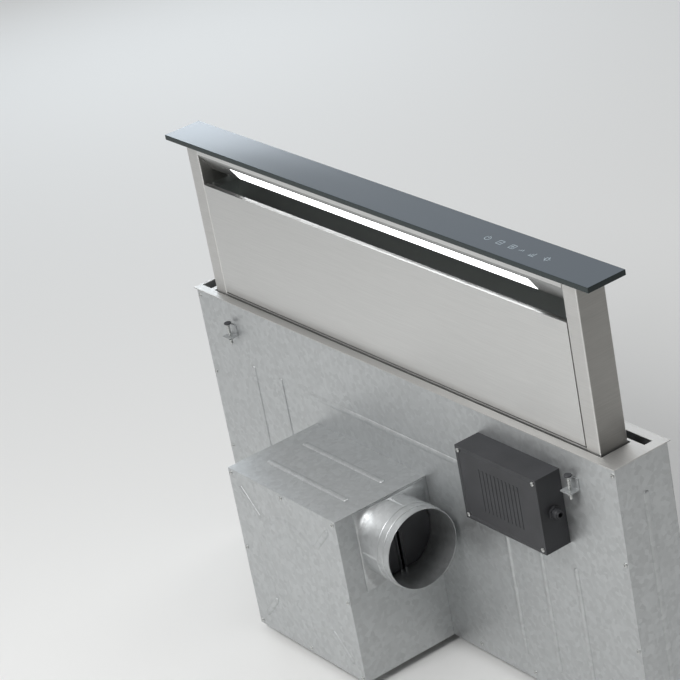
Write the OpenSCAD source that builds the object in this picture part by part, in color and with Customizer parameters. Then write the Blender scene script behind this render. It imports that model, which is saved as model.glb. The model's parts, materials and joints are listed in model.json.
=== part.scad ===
// A downdraft vent that rises out of a worktop behind a cooking surface.
// X runs along its length, Y away from the user and Z up.
// Z is zero on the worktop, and Y is zero on the strip by which the frame's front rests on it.

/* [Tower] */
// Width of the tower over both columns
tower_w = 1106; // [1060:2:1300]
// Depth of the tower from its front face to its rear face
tower_d = 58; // [54:1:66]
// Height of the lid's underside above the frame when the tower is raised
rise = 305; // [280:5:340]
// Length of tower that stays in the housing when it is raised
tower_stay = 80; // [75:1:95]
// Width of each column's front face
column_w = 35; // [30:1:45]
// Wall of the column tubes
column_wall = 1.2; // [1:0.1:2]
// Outer corner radius of the column tubes
column_r = 2.5; // [2.1:0.1:2.6]
// Sheet of the tower's panels
skin_t = 1.2; // [0.8:0.1:1.5]
// Width of the air guides at both ends of the slot
guide_w = 28; // [20:1:35]
// Distance from the tower's face to the air guides
guide_y = 20; // [18:1:23]

/* [Lid] */
// Thickness of the glass lid
lid_t = 10; // [6:0.5:14]
// How far the lid stands out in front of the tower
lid_front = 13; // [5:0.5:14]
// How far the lid stands out behind the tower
lid_rear = 7; // [3:0.5:12]
// How far the lid stands out past each column
lid_end = 47; // [20:1:50]
// Width of the ground edge of the glass
lid_arris = 0.8; // [0.3:0.1:1.5]
// Gap that stays under the lid when the tower is down
lid_gap = 1; // [0.5:0.5:3]

/* [Suction slot] */
// Height of the open slot between the front panel and the lid carrier's lip
slot_h = 61; // [50:1:70]
// Height of the lip under the glass
lip_h = 17; // [12:1:20]
// Depth of the sloping light face
light_face_d = 25; // [22:1:28]
// Height of the sloping light face
light_face_h = 38; // [32:1:42]
// Width of the light diffuser, measured down the slope
light_w = 30; // [12:1:32]
// Distance from each column to the diffuser's end
light_end = 93; // [40:1:150]

/* [Front panel] */
// Gap between the front panel and each column
panel_gap = 1; // [0.5:0.1:1.5]
// Height of the front panel's lower edge above the frame
panel_base = 6; // [5:0.5:8]
// Depth of the panel's folded edges
panel_d = 9; // [8.5:0.1:9.5]
// Radius of the hinge pins
hinge_r = 1.6; // [1.2:0.1:1.6]

/* [Grease filters] */
// Number of grease filters
filter_n = 4; // [2:1:6]
// Thickness of a filter
filter_t = 8; // [6:0.5:9]
// Slope of the filters in degrees
filter_slope = 67; // [62:1:70]

/* [Worktop frame] */
// Thickness of the frame's sheet
frame_t = 1.5; // [1:0.1:2.5]
// Width of the frame's front border
frame_front_w = 16.5; // [14:0.5:24]
// Width of the frame's rear border
frame_rear_w = 19; // [14:0.5:30]
// Width of the frame beyond each end of the tower
frame_end_w = 52; // [51:1:60]
// Gap between the tower and the front and rear of its opening
opening_gap = 2.5; // [2:0.1:3]
// Gap between the tower and the ends of its opening
opening_end_gap = 4; // [3:0.5:5]
// Width of the bar between the tower's opening and the rear slot
bar_w = 5.5; // [5:0.1:8]
// Depth of the rear slot
rear_slot_d = 17; // [10:0.5:20]
// Distance from the rear slot's end to the frame's end
rear_slot_end = 22; // [15:1:40]
// Length of the notch beside the left column
notch_l = 30; // [15:1:32]
// Depth of the notch beside the left column
notch_d = 41.5; // [20:0.5:50]
// How far the frame rests on the worktop all round
frame_over = 4; // [3:0.5:6]

/* [Housing] */
// Room between the lift motor and the lowered tower
motor_room = 10; // [5:1:60]
// Sheet of the housing
wall = 1.2; // [1:0.1:2]
// Distance between the rear fixing holes along the housing
fixing_x = 1000; // [500:10:1040]
// Distance between the rear fixing holes up the housing
fixing_z = 300; // [200:10:340]
// Radius of the rear fixing holes
fixing_r = 2.75; // [2:0.25:4]
// Height of the levelling feet
foot_h = 15; // [12:1:25]
// Radius of the levelling feet
foot_r = 16; // [10:1:18]

/* [Lift] */
// Radius of the lead screws
screw_r = 7; // [6:0.5:8]
// Radius of the screws' bearing journals
journal_r = 5; // [4:0.5:5.5]
// Radial clearance of running shafts
run_gap = 0.05; // [0.02:0.01:0.09]
// Radius of the lead nuts
nut_r = 11; // [10:0.5:12]
// Radius of the long belt's pulleys
pulley_r = 15; // [12:0.5:17]
// Radius of the short belt's pulley on the left screw
driven_r = 18; // [14:0.5:19]
// Radius of the motor's pulley
motor_pulley_r = 12; // [9:0.5:16]
// Width of the belts
belt_w = 8; // [6:0.5:9]
// Thickness of the belts
belt_t = 2; // [1.5:0.1:2.5]
// Radius of the lift motor
motor_r = 24; // [18:1:25]

/* [Blower] */
// Width and height of the blower box
blower_w = 330; // [328:2:350]
// Depth of the blower box
blower_d = 200; // [190:5:260]
// Place of the blower's axis along the housing
blower_x = -100; // [-180:10:60]
// Radius of the impeller
impeller_r = 90; // [70:1:90]
// Width of the impeller
impeller_w = 84; // [60:1:88]
// Number of impeller blades
blade_n = 36; // [20:1:48]
// Outer radius of the outlet collar
outlet_r = 74.5; // [60:0.5:76]
// Length of the outlet collar
outlet_l = 80; // [78:1:110]
// Wall of the outlet collar
outlet_wall = 1.5; // [1:0.1:2]

/* [Controls] */
// Width of the control box
control_w = 210; // [150:5:240]
// Height of the control box
control_h = 140; // [100:5:150]
// Depth of the control box
control_d = 50; // [40:1:70]
// Distance from the tower's right column to the control box
control_end = 60; // [50:5:120]
// Radius of the cable entry
cable_r = 4; // [3:0.5:6]

/* [Hidden] */

// Overrun of every cut, and the play between pieces that move past each other
over = 1;
play = 0.3;
round_fn = 48;
arc_n = 24;

// Colours
steel = [0.74, 0.74, 0.73];
dark_steel = [0.30, 0.31, 0.31];
galvanised = [0.62, 0.65, 0.67];
black_plastic = [0.09, 0.09, 0.10];
rubber_black = [0.05, 0.05, 0.05];
glass_blue = [0.45, 0.50, 0.55];
bronze = [0.66, 0.48, 0.25];
alloy = [0.70, 0.71, 0.73];
board_green = [0.10, 0.30, 0.18];
light_white = [0.97, 0.98, 1.00];

// Carriages, bearings, rails and nuts of the lift
carriage_h = 30;
screw_out = 24;
bearing_h = 16;
bearing_d = 38;
bearing_in = 17;
bearing_gap = 2;
bearing_drop = 28;
bearing_up = 40;
rail_w = 14;
rail_wall = 2.5;
rail_d = 24;
shoe_gap = 0.5;
nut_flange_r = 15;
nut_flange_t = 5;

// Belts, pulleys and the lift motor
belt_gap = 0.3;
pulley_flange = 2.5;
pulley_flange_t = 1;
hub_wall = 4;
long_belt_up = 27;
short_belt_up = 11;
motor_shaft_r = 4;
motor_in = 77;
motor_box_w = 60;
motor_box_d = 50;
motor_box_h = 24;
motor_l = 68;
motor_bore_l = 16;
motor_grip_l = 12;
motor_plate_up = 32;
motor_plate_t = 2;
motor_plate_w = 90;
motor_plate_hole_r = 12;

// Lengthwise places, all measured from the middle
tower_hw = tower_w / 2;
inner_hw = tower_hw - column_w;
shaft_hw = inner_hw - guide_w;
lid_hw = tower_hw + lid_end;
frame_hw = tower_hw + frame_end_w;
housing_hw = frame_hw - frame_over;
bay_hw = housing_hw - wall;
screw_x = tower_hw + screw_out;
motor_x = motor_in - screw_x;

// Depths, measured from the tower's front face, which lies at tower_y
tower_y = frame_front_w + opening_gap - frame_over / 2;
frame_y0 = -opening_gap - frame_front_w;
bar_y = tower_d + opening_gap;
rear_slot_y = bar_y + bar_w;
frame_y1 = rear_slot_y + rear_slot_d + frame_rear_w;
housing_y0 = frame_y0 + frame_over;
housing_y1 = frame_y1 - frame_over;
bay_y0 = housing_y0 + wall;
bay_y1 = housing_y1 - wall;
rear_skin_y = tower_d - skin_t;
screw_y = tower_d / 2;
rail_y = screw_y + bearing_d / 2 + bearing_gap;

// Heights
lid_z = frame_t + rise;
lip_z = lid_z - lip_h;
panel_z1 = lip_z - slot_h;
panel_z0 = frame_t + panel_base;
guide_z1 = panel_z1 - 2 * skin_t;
travel = rise - lid_gap;
tower_z0 = -tower_stay;
tower_low_z = tower_z0 - travel;
housing_z0 = tower_low_z - motor_room - motor_l - motor_box_h - motor_plate_t - motor_plate_up;
bearing_top_z = -bearing_drop;
bearing_low_z = housing_z0 + bearing_up;
long_belt_z = housing_z0 + long_belt_up;
short_belt_z = housing_z0 + short_belt_up;
shaft_low_z = short_belt_z - belt_w / 2 - pulley_flange_t;
motor_plate_z = housing_z0 + motor_plate_up;

// Frame and housing details, with the step under the frame that the housing's walls reach into
seat_step = 0.3;
bar_fold = 12;
notch_front = 1.5;
seal_gap = 0.4;
seal_w = 4.5;
seal_t = 3;
flange_w = 7;
end_flange_w = 12;
tray_lip = 20;

// Worktop clamps
clamp_w = 24;
clamp_drop = 70;
clamp_reach = 22;
clamp_t = 2.5;
clamp_share = 0.82;
clamp_screw_r = 3;
clamp_screw_l = 45;
clamp_low = 15;
clamp_pad_r = 7;
clamp_pad_t = 3;

// Feet
foot_pad_t = 5;
foot_stud_r = 5;
foot_end = 60;
foot_side_share = 0.36;
foot_depth_share = 0.75;

// Small screws
head_r = 4;
head_t = 2.4;
drive_r = 1.6;
drive_t = 1.4;
screw_row_n = 9;
screw_col_n = 4;
screw_inset = 14;
cover_inset = 8;

// Position sensors and their magnets
sensor_w = 12;
sensor_h = 22;
sensor_d = 8;
sensor_in = 6;
magnet_w = 10;
magnet_t = 4;

// Blower
blower_t = 1.2;
scroll_w = 100;
scroll_back = 35;
scroll_tongue = 12;
scroll_grow = 50;
scroll_out_h = 110;
scroll_t = 1.2;
scroll_n = 32;
inlet_in = 15;
inlet_wall = 1.5;
inlet_lip = 8;
hub_r = 14;
hub_gap = 0.02;
blower_shaft_r = 4;
shaft_out = 4;
blade_t = 1;
blade_d = 16;
blade_turn = 28;
wheel_disc_t = 1.5;
wheel_ring_t = 3;
wheel_ring_w = 4;
blower_motor_r = 50;
blower_motor_gap = 13;
blower_motor_bore_share = 0.65;
blower_motor_grip_share = 0.5;
blower_motor_edge = 8;
blower_motor_flange_t = 3;
blower_hw = blower_w / 2;
blower_y1 = housing_y0;
blower_y0 = blower_y1 - blower_d;
blower_z0 = housing_z0;
blower_z1 = blower_z0 + blower_w;
blower_z = blower_z0 + blower_hw;
scroll_y1 = blower_y1 - scroll_back;
scroll_y0 = scroll_y1 - scroll_w;
scroll_mid_y = (scroll_y0 + scroll_y1) / 2;
blower_motor_l = scroll_y0 - blower_y0 - blower_motor_gap;
scroll_r0 = impeller_r + scroll_tongue;
scroll_r1 = impeller_r + scroll_grow;
inlet_r = impeller_r - inlet_in;
outlet_z = blower_z + scroll_r1 - scroll_out_h / 2;

// Outlet collar and damper
outlet_flange = 3.5;
outlet_flange_t = 2;
damper_in = 8;
damper_pin_r = 1.5;
damper_knuckle_r = 3;
damper_split = 5;
damper_t = 1.2;
damper_gap = 1.5;
knuckle_share = 0.9;
damper_x = blower_x + blower_hw + damper_in;
outlet_in_r = outlet_r - outlet_wall;

// Controls
control_drop = 45;
control_t = 2;
gland_r = 9;
gland_l = 18;
gland_nut_r = 12;
gland_nut_t = 5;
control_x1 = inner_hw - control_end;
control_x0 = control_x1 - control_w;
control_z1 = -control_drop;
control_z0 = control_z1 - control_h;
control_y0 = housing_y0 - control_d;

// Light and touch boards
board_t = 1.6;
light_back = 3;
light_low = 1;
light_board_w = 14;
light_board_up = 6;
light_post_l = 6;
diffuser_gap = 0.3;
diffuser_t = 2.5;
diffuser_tab = 5;
led_w = 3;
led_t = 1;
led_pitch = 25;
touch_l = 180;
touch_d = 18;
touch_end = 38;
touch_y = 3;
light_slope = atan2(light_face_h, light_face_d);
light_face_l = norm([light_face_d, light_face_h]);
light_y0 = light_face_l - light_low - light_w;
light_hw = inner_hw - light_end;
touch_x1 = inner_hw - touch_end;

// Front panel details
hinge_y = 5.2;
hinge_up = 6.5;
bush_wall = 0.9;
bush_l = 4;
pin_in = 3;
block_l = 12;
catch_w = 18;
catch_h = 18;
catch_drop = 13;
strike_in = 2;
lip_gap = 2.5;
hinge_z = panel_z0 + hinge_up;
panel_hw = inner_hw - panel_gap;
catch_z1 = panel_z1 - catch_drop;
catch_z0 = catch_z1 - catch_h;

// Grease filters and their rails
filter_y = 14;
filter_z = 72;
filter_rear_gap = 0.6;
filter_edge = 8;
filter_slots = 20;
filter_web_share = 0.6;
filter_gap = 1;
filter_core_t = 3;
filter_tab_w = 30;
filter_tab_up = 12;
filter_tab_t = 1.5;
filter_tab_d = 6;
filter_rail_t = 1.2;
filter_rail_h = 10;
filter_rail_lip = 4;
filter_rail_front = 3;
filter_rail_hook = 5;
filter_rail_gap = 1;
filter_l = (rear_skin_y - filter_y - filter_rear_gap) / cos(filter_slope);
filter_top_y = filter_y + filter_l * cos(filter_slope) - filter_t * sin(filter_slope);
filter_top_z = filter_z + filter_l * sin(filter_slope) + filter_t * cos(filter_slope);

// Draws a box between two corners
module box(low, high) {
    translate(low) cube(high - low);
}

// Puts a piece at the tower's depth
module place() {
    translate([0, tower_y, 0]) children();
}

// Draws a piece at the right end and its mirror image at the left end
module both_ends() {
    children();
    mirror([1, 0, 0]) children();
}

// Cylinder along X, from its base towards +X
module rod_x(r, l) {
    rotate([0, 90, 0]) cylinder(r = r, h = l, $fn = round_fn);
}

// Cylinder along Y, from its base towards -Y
module rod_y(r, l) {
    rotate([90, 0, 0]) cylinder(r = r, h = l, $fn = round_fn);
}

// Cylinder along Z, from its base upwards
module rod_z(r, l) {
    cylinder(r = r, h = l, $fn = round_fn);
}

// Flat rectangle with round corners, from its lower corner
module round_rect(size, r) {
    translate([r, 0]) square([size[0] - 2 * r, size[1]]);
    translate([0, r]) square([size[0], size[1] - 2 * r]);
    for (x = [r, size[0] - r], y = [r, size[1] - r])
        translate([x, y]) circle(r = r, $fn = round_fn);
}

// Flat rectangle with cut corners, from its lower corner
module cut_rect(size, c) {
    polygon([[c, 0], [size[0] - c, 0], [size[0], c], [size[0], size[1] - c],
        [size[0] - c, size[1]], [c, size[1]], [0, size[1] - c], [0, c]]);
}

// Pan-head screw whose head stands out towards +Z
module pan_screw() {
    difference() {
        rod_z(head_r, head_t);
        translate([0, 0, head_t - drive_t]) cylinder(r = drive_r, h = drive_t + over, $fn = 6);
    }
}

// Pan-head screws that stand out towards the front
module front_screws(places) {
    for (p = places) translate(p) rotate([90, 0, 0]) pan_screw();
}

// Worktop frame with the tower's opening, the rear slot and the notch
module worktop_frame() {
    open_hw = tower_hw + opening_end_gap;
    slot_hw = frame_hw - rear_slot_end;
    color(steel) place() {
        difference() {
            box([-frame_hw, frame_y0, 0], [frame_hw, frame_y1, frame_t]);
            box([-housing_hw, housing_y0, -over], [housing_hw, housing_y1, seat_step]);
            box([-open_hw, -opening_gap, -over], [open_hw, bar_y, frame_t + over]);
            box([-slot_hw, rear_slot_y, -over],
                [slot_hw, rear_slot_y + rear_slot_d, frame_t + over]);
            box([-bay_hw, -notch_front, -over],
                [-bay_hw + notch_l, -notch_front + notch_d, frame_t + over]);
        }
        box([-slot_hw, rear_slot_y - frame_t, -bar_fold], [slot_hw, rear_slot_y, frame_t]);
    }
}

// Rubber wiper under the frame, round the tower
module opening_seal() {
    in_hw = tower_hw + seal_gap;
    color(rubber_black) place() difference() {
        box([-in_hw - seal_w, -seal_gap - seal_w, -seal_t],
            [in_hw + seal_w, tower_d + seal_gap + seal_w, seat_step]);
        box([-in_hw, -seal_gap, -seal_t - over], [in_hw, tower_d + seal_gap, over]);
    }
}

// Front shell of the housing, with the blower's inlet
module housing_front() {
    color(galvanised) place() {
        difference() {
            box([-housing_hw, housing_y0, housing_z0], [housing_hw, bay_y0, seat_step]);
            translate([blower_x, bay_y0 + over, blower_z])
                rod_y(inlet_r + inlet_wall, wall + 2 * over);
        }
        box([-bay_hw, bay_y0, seat_step - wall], [bay_hw, bay_y0 + flange_w, seat_step]);
    }
}

// Rear shell of the housing, with the four fixing holes
module housing_rear() {
    color(galvanised) place() {
        difference() {
            box([-housing_hw, bay_y1, housing_z0], [housing_hw, housing_y1, seat_step]);
            for (x = [-fixing_x / 2, fixing_x / 2], z = [-fixing_z / 2, fixing_z / 2])
                translate([x, housing_y1 + over, housing_z0 / 2 + z])
                    rod_y(fixing_r, wall + 2 * over);
        }
        box([-bay_hw, bay_y1 - flange_w, seat_step - wall], [bay_hw, bay_y1, seat_step]);
    }
}

// Right end of the housing, with a flange at the front and at the rear
module housing_end_right() {
    color(galvanised) place() {
        box([bay_hw, bay_y0, housing_z0], [housing_hw, bay_y1, seat_step]);
        for (y = [bay_y0, bay_y1 - wall])
            box([bay_hw - end_flange_w, y, housing_z0 + wall],
                [bay_hw, y + wall, seat_step - wall]);
    }
}

// Left end of the housing
module housing_end_left() {
    mirror([1, 0, 0]) housing_end_right();
}

// Bottom tray of the housing
module housing_tray() {
    lip_hw = bay_hw - end_flange_w - over;
    color(galvanised) place() {
        box([-bay_hw, bay_y0, housing_z0], [bay_hw, bay_y1, housing_z0 + wall]);
        for (y = [bay_y0, bay_y1 - wall])
            box([-lip_hw, y, housing_z0], [lip_hw, y + wall, housing_z0 + tray_lip]);
    }
}

// Draws a piece at the four worktop clamps, on both shells near both ends
module at_clamps() {
    for (x = [-clamp_share * housing_hw, clamp_share * housing_hw]) {
        translate([x, housing_y0, -clamp_drop]) children();
        translate([x, housing_y1, -clamp_drop]) rotate([0, 0, 180]) children();
    }
}

// Angle brackets that carry the clamp screws
module worktop_clamps() {
    color(galvanised) place() at_clamps() {
        box([-clamp_w / 2, -clamp_t, 0], [clamp_w / 2, 0, clamp_reach]);
        difference() {
            box([-clamp_w / 2, -clamp_reach, 0], [clamp_w / 2, 0, clamp_t]);
            translate([0, -clamp_reach / 2, -over]) rod_z(clamp_screw_r, clamp_t + 2 * over);
        }
    }
}

// Clamp screws that press up under the worktop
module clamp_screws() {
    color(dark_steel) place() at_clamps() translate([0, -clamp_reach / 2, -clamp_low]) {
        rod_z(clamp_screw_r, clamp_screw_l);
        translate([0, 0, clamp_screw_l - clamp_pad_t]) rod_z(clamp_pad_r, clamp_pad_t);
    }
}

// Levelling feet under the tray and under the blower box
module levelling_feet() {
    tray_y = (bay_y0 + bay_y1) / 2;
    box_y = blower_y1 - foot_depth_share * blower_d;
    box_x = foot_side_share * blower_w;
    color(black_plastic) place()
        for (p = [[foot_end - bay_hw, tray_y], [bay_hw - foot_end, tray_y],
            [blower_x - box_x, box_y], [blower_x + box_x, box_y]])
            translate([p[0], p[1], housing_z0 - foot_h]) {
                rod_z(foot_r, foot_pad_t);
                rod_z(foot_stud_r, foot_h);
            }
}

// Screws of the housing, the blower's cover and the control box's cover
module housing_screws() {
    row_hw = bay_hw - end_flange_w / 2;
    low_z = housing_z0 + screw_inset;
    row = [for (i = [0:screw_row_n - 1]) -row_hw + 2 * row_hw * i / (screw_row_n - 1)];
    side = [for (i = [1:screw_col_n - 1])
        -screw_inset + (low_z + screw_inset) * (i - 1) / (screw_col_n - 1)];
    reach = blower_hw - cover_inset;
    color(steel) place() {
        front_screws([for (x = row) if (abs(x - blower_x) > blower_hw + head_r)
            [x, housing_y0, low_z]]);
        front_screws([for (x = [-row_hw, row_hw], z = side) [x, housing_y0, z]]);
        translate([0, housing_y1 + housing_y0, 0]) mirror([0, 1, 0]) {
            front_screws([for (x = row) [x, housing_y0, low_z]]);
            front_screws([for (x = [-row_hw, row_hw], z = side) [x, housing_y0, z]]);
        }
        front_screws([for (x = [-reach, 0, reach], z = [-reach, 0, reach]) if (x != 0 || z != 0)
            [blower_x + x, blower_y0 - blower_t, blower_z + z]]);
        front_screws([for (x = [control_x0 + cover_inset, control_x1 - cover_inset],
            z = [control_z0 + cover_inset, control_z1 - cover_inset])
            [x, control_y0 - control_t, z]]);
    }
}

// Right guide rail: a channel that is open towards the tower
module guide_rail_right() {
    color(alloy) place() difference() {
        box([bay_hw - rail_w, rail_y, bearing_low_z], [bay_hw, rail_y + rail_d, bearing_top_z]);
        box([bay_hw - rail_w - over, rail_y + rail_wall, bearing_low_z - over],
            [bay_hw - rail_wall, rail_y + rail_d - rail_wall, bearing_top_z + over]);
    }
}

// Left guide rail
module guide_rail_left() {
    mirror([1, 0, 0]) guide_rail_right();
}

// Bearing blocks at both ends of both lead screws
module screw_bearings() {
    color(dark_steel) place() both_ends()
        for (z = [bearing_top_z - bearing_h, bearing_low_z]) difference() {
            box([screw_x - bearing_in, screw_y - bearing_d / 2, z],
                [bay_hw, screw_y + bearing_d / 2, z + bearing_h]);
            translate([screw_x, screw_y, z - over])
                rod_z(journal_r + run_gap, bearing_h + 2 * over);
        }
}

// Right lead screw, with a thinner journal at each end
module lead_screw_right() {
    z0 = bearing_low_z + bearing_h + bearing_gap;
    z1 = bearing_top_z - bearing_h - bearing_gap;
    color(steel) place() translate([screw_x, screw_y, 0]) {
        translate([0, 0, z0]) rod_z(screw_r, z1 - z0);
        translate([0, 0, shaft_low_z]) rod_z(journal_r, bearing_top_z - bearing_gap - shaft_low_z);
    }
}

// Left lead screw
module lead_screw_left() {
    mirror([1, 0, 0]) lead_screw_right();
}

// Solid of a flanged pulley, centred on its belt
module pulley_disc(r) {
    translate([0, 0, -belt_w / 2]) rod_z(r, belt_w);
    for (z = [-belt_w / 2 - pulley_flange_t, belt_w / 2])
        translate([0, 0, z]) rod_z(r + pulley_flange, pulley_flange_t);
}

// Left screw's double pulley: the upper step for the long belt, the lower one for the short belt
module screw_pulley_left() {
    color(alloy) place() translate([-screw_x, screw_y, short_belt_z]) difference() {
        union() {
            pulley_disc(driven_r);
            rod_z(journal_r + hub_wall, long_belt_z - short_belt_z);
            translate([0, 0, long_belt_z - short_belt_z]) pulley_disc(pulley_r);
        }
        translate([0, 0, -belt_w]) rod_z(journal_r, long_belt_z - short_belt_z + 2 * belt_w);
    }
}

// Right screw's pulley
module screw_pulley_right() {
    color(alloy) place() translate([screw_x, screw_y, long_belt_z]) difference() {
        pulley_disc(pulley_r);
        translate([0, 0, -belt_w]) rod_z(journal_r, 2 * belt_w);
    }
}

// Points of an arc round a centre on the X axis
function arc(x, r, from, to) = [for (i = [0:arc_n]) let (a = from + (to - from) * i / arc_n)
    [x + r * cos(a), r * sin(a)]];

// Flat outline round two circles, the second of them further along +X
module wrap(x0, r0, x1, r1) {
    lean = asin((r0 - r1) / (x1 - x0));
    polygon(concat(arc(x1, r1, 90 - lean, lean - 90), arc(x0, r0, 270 + lean, 90 - lean)));
}

// Belt round two pulleys, a small gap away from both
module belt(x0, r0, x1, r1, z) {
    low = belt_gap - belt_w / 2;
    color(rubber_black) place() translate([0, screw_y, z + low])
        linear_extrude(-2 * low) difference() {
            wrap(x0, r0 + belt_gap + belt_t, x1, r1 + belt_gap + belt_t);
            wrap(x0, r0 + belt_gap, x1, r1 + belt_gap);
        }
}

// Belt between the two lead screws
module long_belt() {
    belt(-screw_x, pulley_r, screw_x, pulley_r, long_belt_z);
}

// Belt between the lift motor and the left lead screw
module short_belt() {
    belt(-screw_x, driven_r, motor_x, motor_pulley_r, short_belt_z);
}

// Gearbox and motor of the lift, standing on its bracket
module lift_motor() {
    color(dark_steel) place() translate([motor_x, screw_y, motor_plate_z + motor_plate_t])
        difference() {
            union() {
                box([-motor_box_w / 2, -motor_box_d / 2, 0],
                    [motor_box_w / 2, motor_box_d / 2, motor_box_h]);
                translate([0, 0, motor_box_h]) rod_z(motor_r, motor_l);
            }
            translate([0, 0, -over]) rod_z(motor_shaft_r + run_gap, motor_bore_l + over);
        }
}

// Bracket that holds the lift motor on the front shell
module motor_bracket() {
    x0 = motor_x - motor_plate_w / 2;
    x1 = motor_x + motor_plate_w / 2;
    z1 = motor_plate_z + motor_plate_t;
    color(galvanised) place() {
        difference() {
            box([x0, bay_y0, motor_plate_z], [x1, screw_y + motor_box_d / 2, z1]);
            translate([motor_x, screw_y, motor_plate_z - over])
                rod_z(motor_plate_hole_r, motor_plate_t + 2 * over);
        }
        box([x0, bay_y0, motor_plate_z], [x1, bay_y0 + motor_plate_t, z1 + motor_box_h]);
    }
}

// Shaft of the lift motor
module motor_shaft() {
    z1 = motor_plate_z + motor_plate_t + motor_grip_l;
    color(steel) place() translate([motor_x, screw_y, shaft_low_z])
        rod_z(motor_shaft_r, z1 - shaft_low_z);
}

// Pulley of the lift motor
module motor_pulley() {
    color(alloy) place() translate([motor_x, screw_y, short_belt_z]) difference() {
        pulley_disc(motor_pulley_r);
        translate([0, 0, -belt_w]) rod_z(motor_shaft_r, 2 * belt_w);
    }
}

// Sensors that read the magnets at the top and at the bottom of the tower's way
module position_sensors() {
    y0 = bay_y0 + sensor_in;
    color(black_plastic) place() both_ends() for (z = [tower_z0, tower_low_z])
        box([bay_hw - sensor_w, y0, z], [bay_hw, y0 + sensor_d, z + sensor_h]);
}

// Box round the blower, open at the front
module blower_box() {
    x0 = blower_x - blower_hw;
    x1 = blower_x + blower_hw;
    color(galvanised) place() difference() {
        box([x0, blower_y0, blower_z0], [x1, blower_y1, blower_z1]);
        box([x0 + blower_t, blower_y0 - over, blower_z0 + blower_t],
            [x1 - blower_t, blower_y1 - blower_t, blower_z1 - blower_t]);
        translate([blower_x, blower_y1 + over, blower_z])
            rod_y(inlet_r + inlet_wall, blower_t + 2 * over);
        translate([x1 - blower_t - over, scroll_mid_y, outlet_z])
            rod_x(outlet_in_r, blower_t + 2 * over);
    }
}

// Front cover of the blower box
module blower_cover() {
    color(galvanised) place()
        box([blower_x - blower_hw, blower_y0 - blower_t, blower_z0],
            [blower_x + blower_hw, blower_y0, blower_z1]);
}

// Radius of the scroll at an angle from the top, drawn in by a wall
function scroll_r(a, inset) = scroll_r0 + (scroll_r1 - scroll_r0) * a / 360 - inset;

// Flat outline of the scroll and its outlet, drawn in by a wall
module scroll_outline(inset, end_x) {
    low_z = scroll_r1 - scroll_out_h + inset;
    near_a = acos(low_z / scroll_r(0, inset));
    tongue_a = acos(low_z / scroll_r(near_a, inset));
    polygon(concat([for (i = [0:scroll_n]) let (a = tongue_a + (360 - tongue_a) * i / scroll_n)
        scroll_r(a, inset) * [sin(a), cos(a)]], [[end_x, scroll_r1 - inset], [end_x, low_z]]));
}

// Scroll that gathers the air round the impeller and leads it to the collar
module blower_scroll() {
    color(galvanised) place() translate([blower_x, scroll_y1, blower_z]) rotate([90, 0, 0])
        difference() {
            linear_extrude(scroll_w) scroll_outline(0, blower_hw - blower_t);
            translate([0, 0, scroll_t]) linear_extrude(scroll_w - 2 * scroll_t)
                scroll_outline(scroll_t, blower_hw - blower_t + over);
            translate([0, 0, -over]) rod_z(inlet_r + inlet_wall, scroll_t + 2 * over);
            translate([0, 0, scroll_w - scroll_t - over]) rod_z(hub_r, scroll_t + 2 * over);
        }
}

// Flanged ring that leads the air from the housing into the impeller
module inlet_ring() {
    color(alloy) place() translate([blower_x, bay_y0, blower_z]) rotate([90, 0, 0])
        rotate_extrude($fn = round_fn) translate([inlet_r, -inlet_wall]) {
            square([inlet_lip, inlet_wall]);
            square([inlet_wall, inlet_wall + bay_y0 - scroll_y1 + scroll_t]);
        }
}

// Impeller with angled blades between a disc and a ring
module impeller() {
    blade_l = impeller_w - wheel_ring_t - wheel_disc_t;
    color(black_plastic) place()
        translate([blower_x, scroll_mid_y + impeller_w / 2, blower_z]) rotate([90, 0, 0]) {
            difference() {
                union() {
                    translate([0, 0, impeller_w - wheel_disc_t]) rod_z(impeller_r, wheel_disc_t);
                    translate([0, 0, impeller_w / 2]) rod_z(hub_r, impeller_w / 2);
                }
                translate([0, 0, impeller_w / 2 - over])
                    rod_z(blower_shaft_r + hub_gap, impeller_w / 2 + 2 * over);
            }
            difference() {
                rod_z(impeller_r, wheel_ring_t);
                translate([0, 0, -over])
                    rod_z(impeller_r - wheel_ring_w, wheel_ring_t + 2 * over);
            }
            for (i = [0:blade_n - 1]) rotate([0, 0, 360 * i / blade_n])
                translate([impeller_r - blade_t, 0, wheel_ring_t]) rotate([0, 0, blade_turn])
                    translate([-blade_d, 0, 0]) cube([blade_d, blade_t, blade_l]);
        }
}

// Shaft between the blower's motor and its impeller
module blower_shaft() {
    y1 = scroll_mid_y + shaft_out;
    color(steel) place() translate([blower_x, y1, blower_z])
        rod_y(blower_shaft_r, y1 - scroll_y0 + blower_motor_l * blower_motor_grip_share);
}

// Motor of the blower, on the scroll's front plate
module blower_motor() {
    color(dark_steel) place() translate([blower_x, scroll_y0, blower_z]) difference() {
        union() {
            rod_y(blower_motor_r, blower_motor_l);
            rod_y(blower_motor_r + blower_motor_edge, blower_motor_flange_t);
        }
        translate([0, over, 0])
            rod_y(blower_shaft_r + run_gap, blower_motor_l * blower_motor_bore_share + over);
    }
}

// Collar that takes the round outlet duct
module outlet_collar() {
    flange_hw = outlet_r + outlet_flange;
    color(galvanised) place() difference() {
        translate([blower_x + blower_hw, scroll_mid_y, outlet_z]) difference() {
            union() {
                box([0, -flange_hw, -flange_hw], [outlet_flange_t, flange_hw, flange_hw]);
                rod_x(outlet_r, outlet_l);
            }
            translate([-over, 0, 0]) rod_x(outlet_in_r, outlet_l + 2 * over);
        }
        damper_axes() translate([0, 0, -outlet_r]) rod_z(damper_pin_r, 2 * outlet_r);
    }
}

// Draws a piece at the axes of both damper flaps
module damper_axes() {
    for (y = [-damper_split, damper_split])
        translate([damper_x, scroll_mid_y + y, outlet_z]) children();
}

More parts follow.
